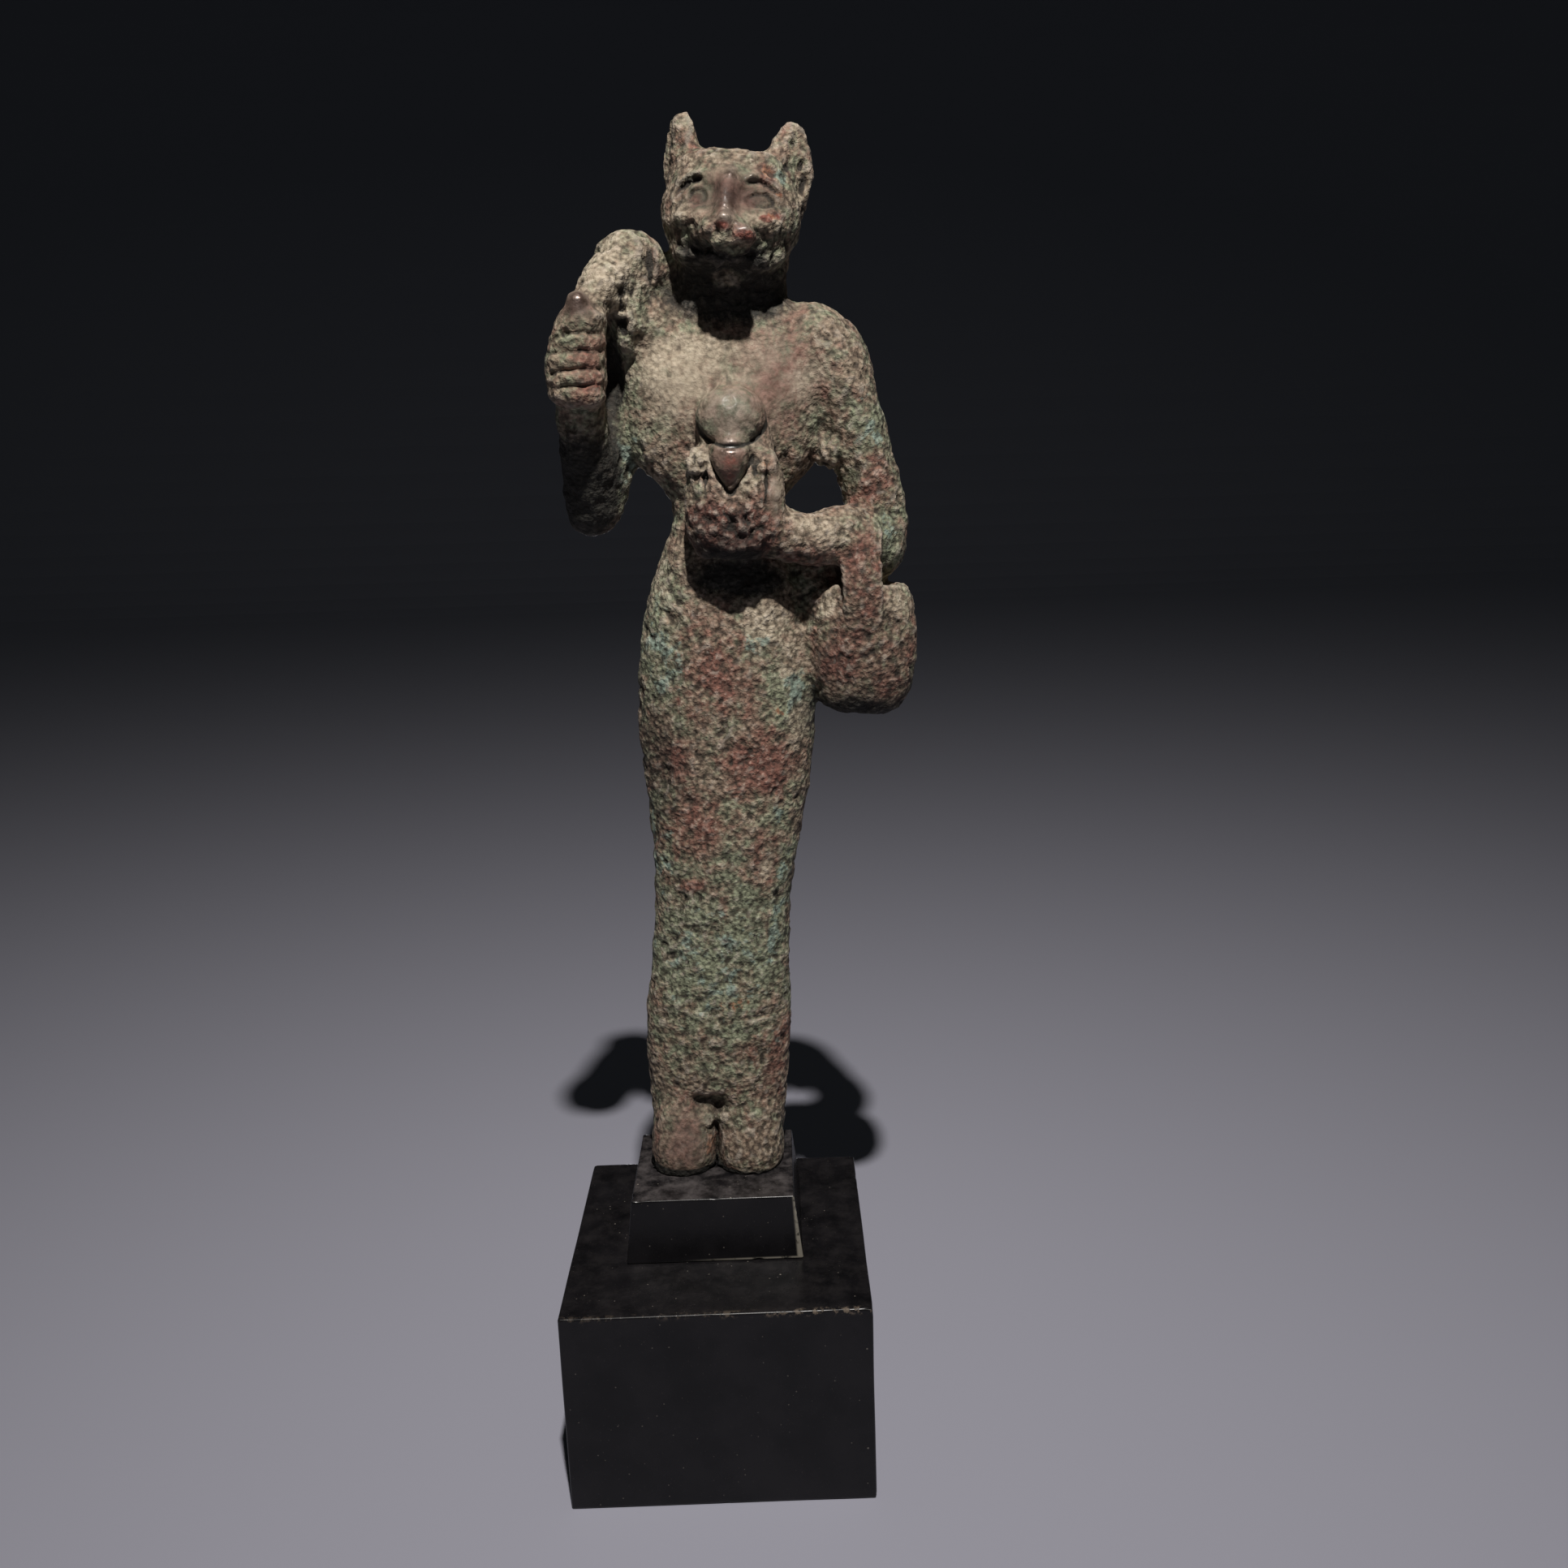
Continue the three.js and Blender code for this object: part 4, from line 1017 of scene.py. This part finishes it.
# Black dirt in the carved lines and pits; painted shade at the throat, inside the arm, under the forearm and
# the situla.
muzzle = bell(face, (0.5, -7.4, -2.7), (1.9, 1.6, 1.3))
# Painted shade under the face, where it turns down below the muzzle.
lower_face_shade = 0.85 * bell(face, (0, -4, -4), (5.6, 5, 2)) * (1 - muzzle)
# Painted shade: the head's shadow on the neck, the raised forearm and elbow, the recess by the fist, under
# the collar and forearm.
neck_and_arm_shade = np.maximum(lower_face_shade, spots(
    [(-0.8, -2, 84.6, 6.5, 7, 3.4, 1), (-12.8, 0.5, 67, 3.5, 3.5, 6, 0.5),
     (1.5, -4.2, 59.6, 6.5, 2.5, 2.4, 0.85), (0.3, -7, 61.6, 4.2, 3, 1.7, 0.75),
     (-13.4, -2, 68.5, 3.2, 4.5, 6.6, 1.5), (-11, -1, 77, 1.2, 3.5, 4.4, 0.95)]))
# Painted shade under the situla and between it and the hip.
situla_shade = spots([(12.7, -1.5, 46.6, 7, 6, 3.4, 0.8), (9, -2, 52, 1.6, 4, 4, 0.5)])
# Black dirt and painted shade together; the last term is a painted contact shadow along the bottom of the
# feet.
dark_dirt_and_shade = np.max([
    neck_and_arm_shade * (1 - throat), situla_shade, eye_lines_and_brow_shade, aegis_lines, pits, wall_pits, slot, 0.42 * fingers,
    0.7 * clustered * ease(lumps, 0.14, -0.04), ease(form[:, 2], 1, 0.25)], axis=0)
# Duller parts: the feet, the situla, the collar, the left of the dress, the middle of the face, the thumb.
dim = np.maximum(thumb, spots(
    [(0, -3.5, 1.5, 9, 6, 4, 0.75), (13.2, -2, 51, 5.6, 6, 6, 0.6), (0.3, -8, 63.2, 5, 3, 3.2, 0.95),
     (-6.5, -3, 43, 2.5, 4, 6, 0.75), (12, -5, 60, 2.2, 3, 4.5, 0.35), (-0.05, -9, 70, 1.8, 2, 2, 0.25)],
    [(0, -3, 1, 7.5, 6, 5, 0.55), (0.2, -6, 0.7, 3.4, 3, 2.2, 1)]))
# Orange rust and bright red oxide, in small spots on the face, the lion's snout, the dress and the foot.
orange = spots(
    [(-0.45, -3.6, 2.5, 0.7, 2.5, 2, 1), (4.8, -3.4, 47.1, 1, 1.5, 0.9, 0.75),
     (1.8, -3.4, 17.6, 2.3, 2, 1.2, 0.85), (2.9, -8.6, 69.4, 1.1, 2, 0.9, 0.8),
     (-0.05, -9.8, 68.4, 0.7, 1.2, 0.8, 0.9)],
    [(3.1, -3.2, 3, 0.75, 2, 1.1, 1), (4.1, -4.3, -0.5, 1.4, 2, 0.5, 0.85),
     (1.65, -7.3, -2.4, 0.9, 1.4, 0.7, 0.75), (0.1, -7.7, -2, 0.7, 1.2, 0.5, 0.8),
     (4.3, -3.6, 1.5, 0.8, 2, 0.35, 0.8)])
scarlet = spots(
    [(-0.05, -9.9, 68.6, 0.7, 1.4, 0.8, 1), (-4.5, -4, 48, 0.4, 1.5, 0.4, 0.8),
     (3, -4.2, 42.6, 1.6, 2.5, 1.6, 0.45), (0, -9, 70, 1.5, 2, 1.4, 0.62),
     (-11.4, -8.8, 75.9, 0.8, 1.5, 0.9, 0.6), (12.4, -5.6, 60.5, 1.2, 1.5, 2, 0.35)],
    [(1.9, -7.2, -2.5, 0.9, 1.4, 0.45, 1), (0, -7.7, -1.9, 0.75, 1.2, 0.4, 0.9),
     (3.5, -4.6, -0.75, 0.75, 2, 0.4, 1), (4.5, -4.2, -0.35, 0.75, 2, 0.36, 0.9),
     (4.6, -3.4, 1.5, 0.6, 2, 0.25, 0.6), (0.3, -6, 3, 0.8, 1.5, 0.5, 0.4)])
# Darker tarnish over the other colours: the collar, the eye sockets, the dome, the situla and the left foot.
deep = np.maximum(0.85 * thumb, spots(
    [(0.3, -8, 62.2, 5, 3, 2.2, 0.6), (-6.6, -3, 43, 2, 4, 6, 0.35), (0, -8.2, 73.6, 3.4, 3, 3, 0.3),
     (12.7, -3, 49.5, 6, 4, 4, 0.25), (-3, -4.5, 2.6, 3.4, 3.5, 3.6, 0.25)],
    [(0.3, -6, 1.3, 2.2, 3, 1.8, 0.5), (-2.5, -5, 0.85, 1.5, 3, 1, 0.78), (2.84, -5, 0.95, 2.2, 3, 0.8, 0.82),
     (1.65, -7.2, -2.1, 0.9, 1.5, 0.7, 0.45)]))
# The second set holds worn metal, black dirt with painted shade, and rust.
for name, three in (("corrosion", (red, green, sand)), ("wear_dirt_and_shade", (metal, dark_dirt_and_shade, orange)),
                    ("crust", (cavity, rough / roughest, dim)),
                    ("shine", (polish, scarlet, deep * (1 - 0.4 * polish)))):
    kept = figure.data.attributes.new(name, "FLOAT_COLOR", "POINT")
    values = np.column_stack([*three, np.ones(len(points))]).clip(0, 1)
    kept.data.foreach_set("color", values.ravel().astype(np.float32))
figure.data.polygons.foreach_set("use_smooth", np.ones(len(figure.data.polygons), bool))

# The bronze's finish: patches of corrosion a few millimetres wide, mottled, over a sponge of fine grains and
# cells. Where the crust is thin, the mottling shows instead of the sponge.
bronze = Finish("corroded_bronze")


def values_of(name):
    """The three values that the points hold under that name."""
    return bronze.parts(bronze.node("ShaderNodeAttribute", {"attribute_name": name}, output="Color"))


def moved(step):
    """The place shifted by that many millimetres along every axis, for a pattern of its own."""
    return bronze.node("ShaderNodeMapping", None, bronze.place, (step * MM, step * MM, step * MM))


red, green, sand = values_of("corrosion")
metal, dark_dirt_and_shade, orange = values_of("wear_dirt_and_shade")
cavity, rough, dim = values_of("crust")
polish, scarlet, deep = values_of("shine")
rust_patch = bronze.noise(3.4 * MM, 5, 0.68, twist=0.5)
green_patch = bronze.noise(3.0 * MM, 5, 0.70, twist=0.5, place=moved(31))
sand_patch = bronze.noise(2.4 * MM, 5, 0.70, place=moved(57))
blue_patch = bronze.noise(2.0 * MM, 4, 0.65, place=moved(83))
mottle = bronze.noise(1.3 * MM, 4, 0.7, place=moved(12))
sponge = bronze.noise(0.62 * MM, 3, 0.6)
cells = bronze.node("ShaderNodeTexVoronoi", None, Vector=moved(7), Scale=1 / (0.54 * MM))
crusty = rough.between(0.18, 0.7)
grainy = (sponge * 0.8 - cells * 0.35 + 0.26).between(0.34, 0.70)
tone = 0.62 + (grainy - 0.62) * (crusty * 0.5 + 0.2) + (mottle - 0.5) * (1.35 - crusty * 0.6) - dim * 0.42


def toned(in_gaps, on_crests):
    """A colour that is deep in the gaps of the crust and pale on its crests."""
    return bronze.mixed(tone, (*in_gaps, 1), (*on_crests, 1))


# Colours from the metal outwards, each laid over the last: brown oxide and olive, red oxide, sandy earth,
# turquoise, rust, worn metal, bright red, black dirt and painted shade, then the gaps, the crests and the
# tarnish.
brown = toned((0.070, 0.046, 0.031), (0.34, 0.265, 0.19))
olive = toned((0.058, 0.060, 0.036), (0.30, 0.325, 0.215))
cuprite = toned((0.060, 0.022, 0.016), (0.255, 0.103, 0.076))
sandy = toned((0.20, 0.155, 0.105), (0.50, 0.43, 0.33))
turquoise = toned((0.085, 0.115, 0.092), (0.31, 0.40, 0.34))
rusty = toned((0.13, 0.050, 0.024), (0.38, 0.185, 0.095))
bright_red = toned((0.080, 0.018, 0.012), (0.24, 0.060, 0.040))
# Black, for dirt and for painted shade.
black_dirt_and_shade = toned((0.006, 0.006, 0.005), (0.030, 0.027, 0.020))
worn = bronze.mixed(mottle.between(0.36, 0.64), (0.075, 0.062, 0.048, 1), (0.31, 0.265, 0.22, 1))
gap_black, crest_pale, tarnish = (0.022, 0.016, 0.011, 1), (0.46, 0.40, 0.335, 1), (0.20, 0.15, 0.14, 1)
gaps = (cells * 0.55 - sponge + 0.5).between(0.30, 0.56) * 0.62 * crusty
pit_depth = (gaps + cavity.between(0.55, 0.95) * 0.75 * (1 - metal * 0.7)).smallest(0.9)
crest = cavity.between(0.42, 0.08) * 0.35 + sponge.between(0.58, 0.68) * 0.28 * crusty
colour = brown
for share, over in (
        ((green * 0.55 + green_patch * 1.9 - mottle * 1.1 - 0.25).between(0.04, 0.5), olive),
        ((red * 0.85 + rust_patch * 2.2 + mottle * 0.9 - 1.52).between(-0.05, 0.75) * 0.9, cuprite),
        ((sand * 0.8 + sand_patch * 1.7 - 0.95).between(0.12, 0.58) * 0.88, sandy),
        ((green * 0.6 + blue_patch * 2.0 - 1.12).between(0.30, 0.52) * 0.85, turquoise),
        ((orange * 0.9 + mottle * 1.6 - 0.98).between(0.35, 0.6), rusty),
        ((metal * (0.45 + mottle * 0.8)).smallest(0.85), worn),
        (red * metal * 0.7, cuprite),
        ((scarlet * 1.1 + mottle * 1.2 - 0.85).between(0.2, 0.55) * 0.85, bright_red),
        # Black dirt and painted shade, from the black mask.
        ((dark_dirt_and_shade + mottle * 0.7 - 0.35).between(0.3, 0.62), black_dirt_and_shade),
        (pit_depth, gap_black),
        (crest * (1 - metal) * (1 - dark_dirt_and_shade), crest_pale)):
    colour = bronze.mixed(share, colour, over)
relief_depth = 0.26 * MM
height = sponge * 1.3 - cells * 0.55 + mottle * 0.5
bronze.set(Base_Color=bronze.mixed(deep, colour, tarnish, blend="MULTIPLY"),
           Metallic=metal * 0.3 + polish * 0.2,
           Roughness=(0.80 - metal * 0.28 - polish * 0.26 + mottle * 0.16).smallest(0.95),
           Coat_Weight=polish * 0.9, Coat_Roughness=0.3,
           Normal=bronze.relief(height * (0.30 + crusty * 0.75), relief_depth))
figure.data.materials.clear()
figure.data.materials.append(bronze.material)
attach(figure, "root")
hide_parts("bastet_figure")


# A plain pale floor of seamless paper that sweeps up far behind, which isn't part of the object. It is one
# strip: the profile of a flat, a quarter circle and a wall, drawn along the width.
floor_half, floor_back, sweep_radius = 2.5, 0.9, 0.7
paper_colour = (0.33, 0.33, 0.395, 1)
rise = np.linspace(0, math.pi / 2, 24)
sweep = np.stack([floor_back + sweep_radius * np.sin(rise), sweep_radius * (1 - np.cos(rise))], axis=1)
profile = np.vstack([[-floor_half, 0], sweep, [floor_back + sweep_radius, 2 * floor_half]])
sheet = np.vstack([np.column_stack([np.full(len(profile), side * floor_half), profile]) for side in (-1, 1)])
first = np.arange(len(profile) - 1)
floor_mesh = bpy.data.meshes.new("floor")
floor_mesh.from_pydata(sheet.tolist(), [], np.stack(
    [first, first + len(profile), first + len(profile) + 1, first + 1], axis=1).tolist())
floor = bpy.data.objects.new("floor", floor_mesh)
bpy.context.scene.collection.objects.link(floor)
paper = Finish("pale_paper")
paper.set(Base_Color=paper_colour, Roughness=0.9)
floor.data.materials.append(paper.material)


def studio_lamp(name, place, aim, size, energy, colour, spread):
    """A round area light that faces a point, its beam as wide as the spread in degrees."""
    lamp = bpy.data.lights.new(name, "AREA")
    lamp.shape = "DISK"
    lamp.size = size
    lamp.energy = energy
    lamp.color = colour
    lamp.spread = math.radians(spread)
    light = bpy.data.objects.new(name, lamp)
    light.visible_camera = False
    light.location = place
    light.rotation_euler = (Vector(aim) - Vector(place)).to_track_quat("-Z", "Y").to_euler()
    bpy.context.scene.collection.objects.link(light)


# The lights, which aren't part of the object: one close lamp above the camera, as in the photograph, a weak
# narrow one behind for the figure's edges, and a faint even light from all round.
studio_lamp("key", place=(0.024, -0.175, 0.345), aim=(0, 0, 0.08), size=0.009, energy=0.575,
            colour=(1.0, 0.965, 0.92), spread=120)
studio_lamp("behind", place=(-0.05, 0.55, 0.02), aim=(0, 0, 0.095), size=0.04, energy=0.012,
            colour=(0.95, 0.97, 1.0), spread=16)
world = bpy.data.worlds.new("studio")
bpy.context.scene.world = world
world.use_nodes = True
world.node_tree.nodes["Background"].inputs["Color"].default_value = (0.9, 1.0, 1.0, 1)
world.node_tree.nodes["Background"].inputs["Strength"].default_value = 0.021

# The camera stands where the photograph's stood, worked out from the corners of the block. Its focal length
# is a share of the picture's width.
sensor_width = 36
focal_share = 1730.352 / 1932
lens = bpy.data.cameras.new("camera")
lens.sensor_width = sensor_width
lens.lens = sensor_width * focal_share
lens.clip_start = 0.005
camera = bpy.data.objects.new("camera", lens)
camera.location = (8.0427 * MM, -142.0605 * MM, 106.4766 * MM)
camera.rotation_euler = [math.radians(angle) for angle in (76.8766, 1.8738, -0.7617)]
bpy.context.scene.collection.objects.link(camera)
bpy.context.scene.camera = camera
bpy.context.scene.view_settings.view_transform = "Standard"
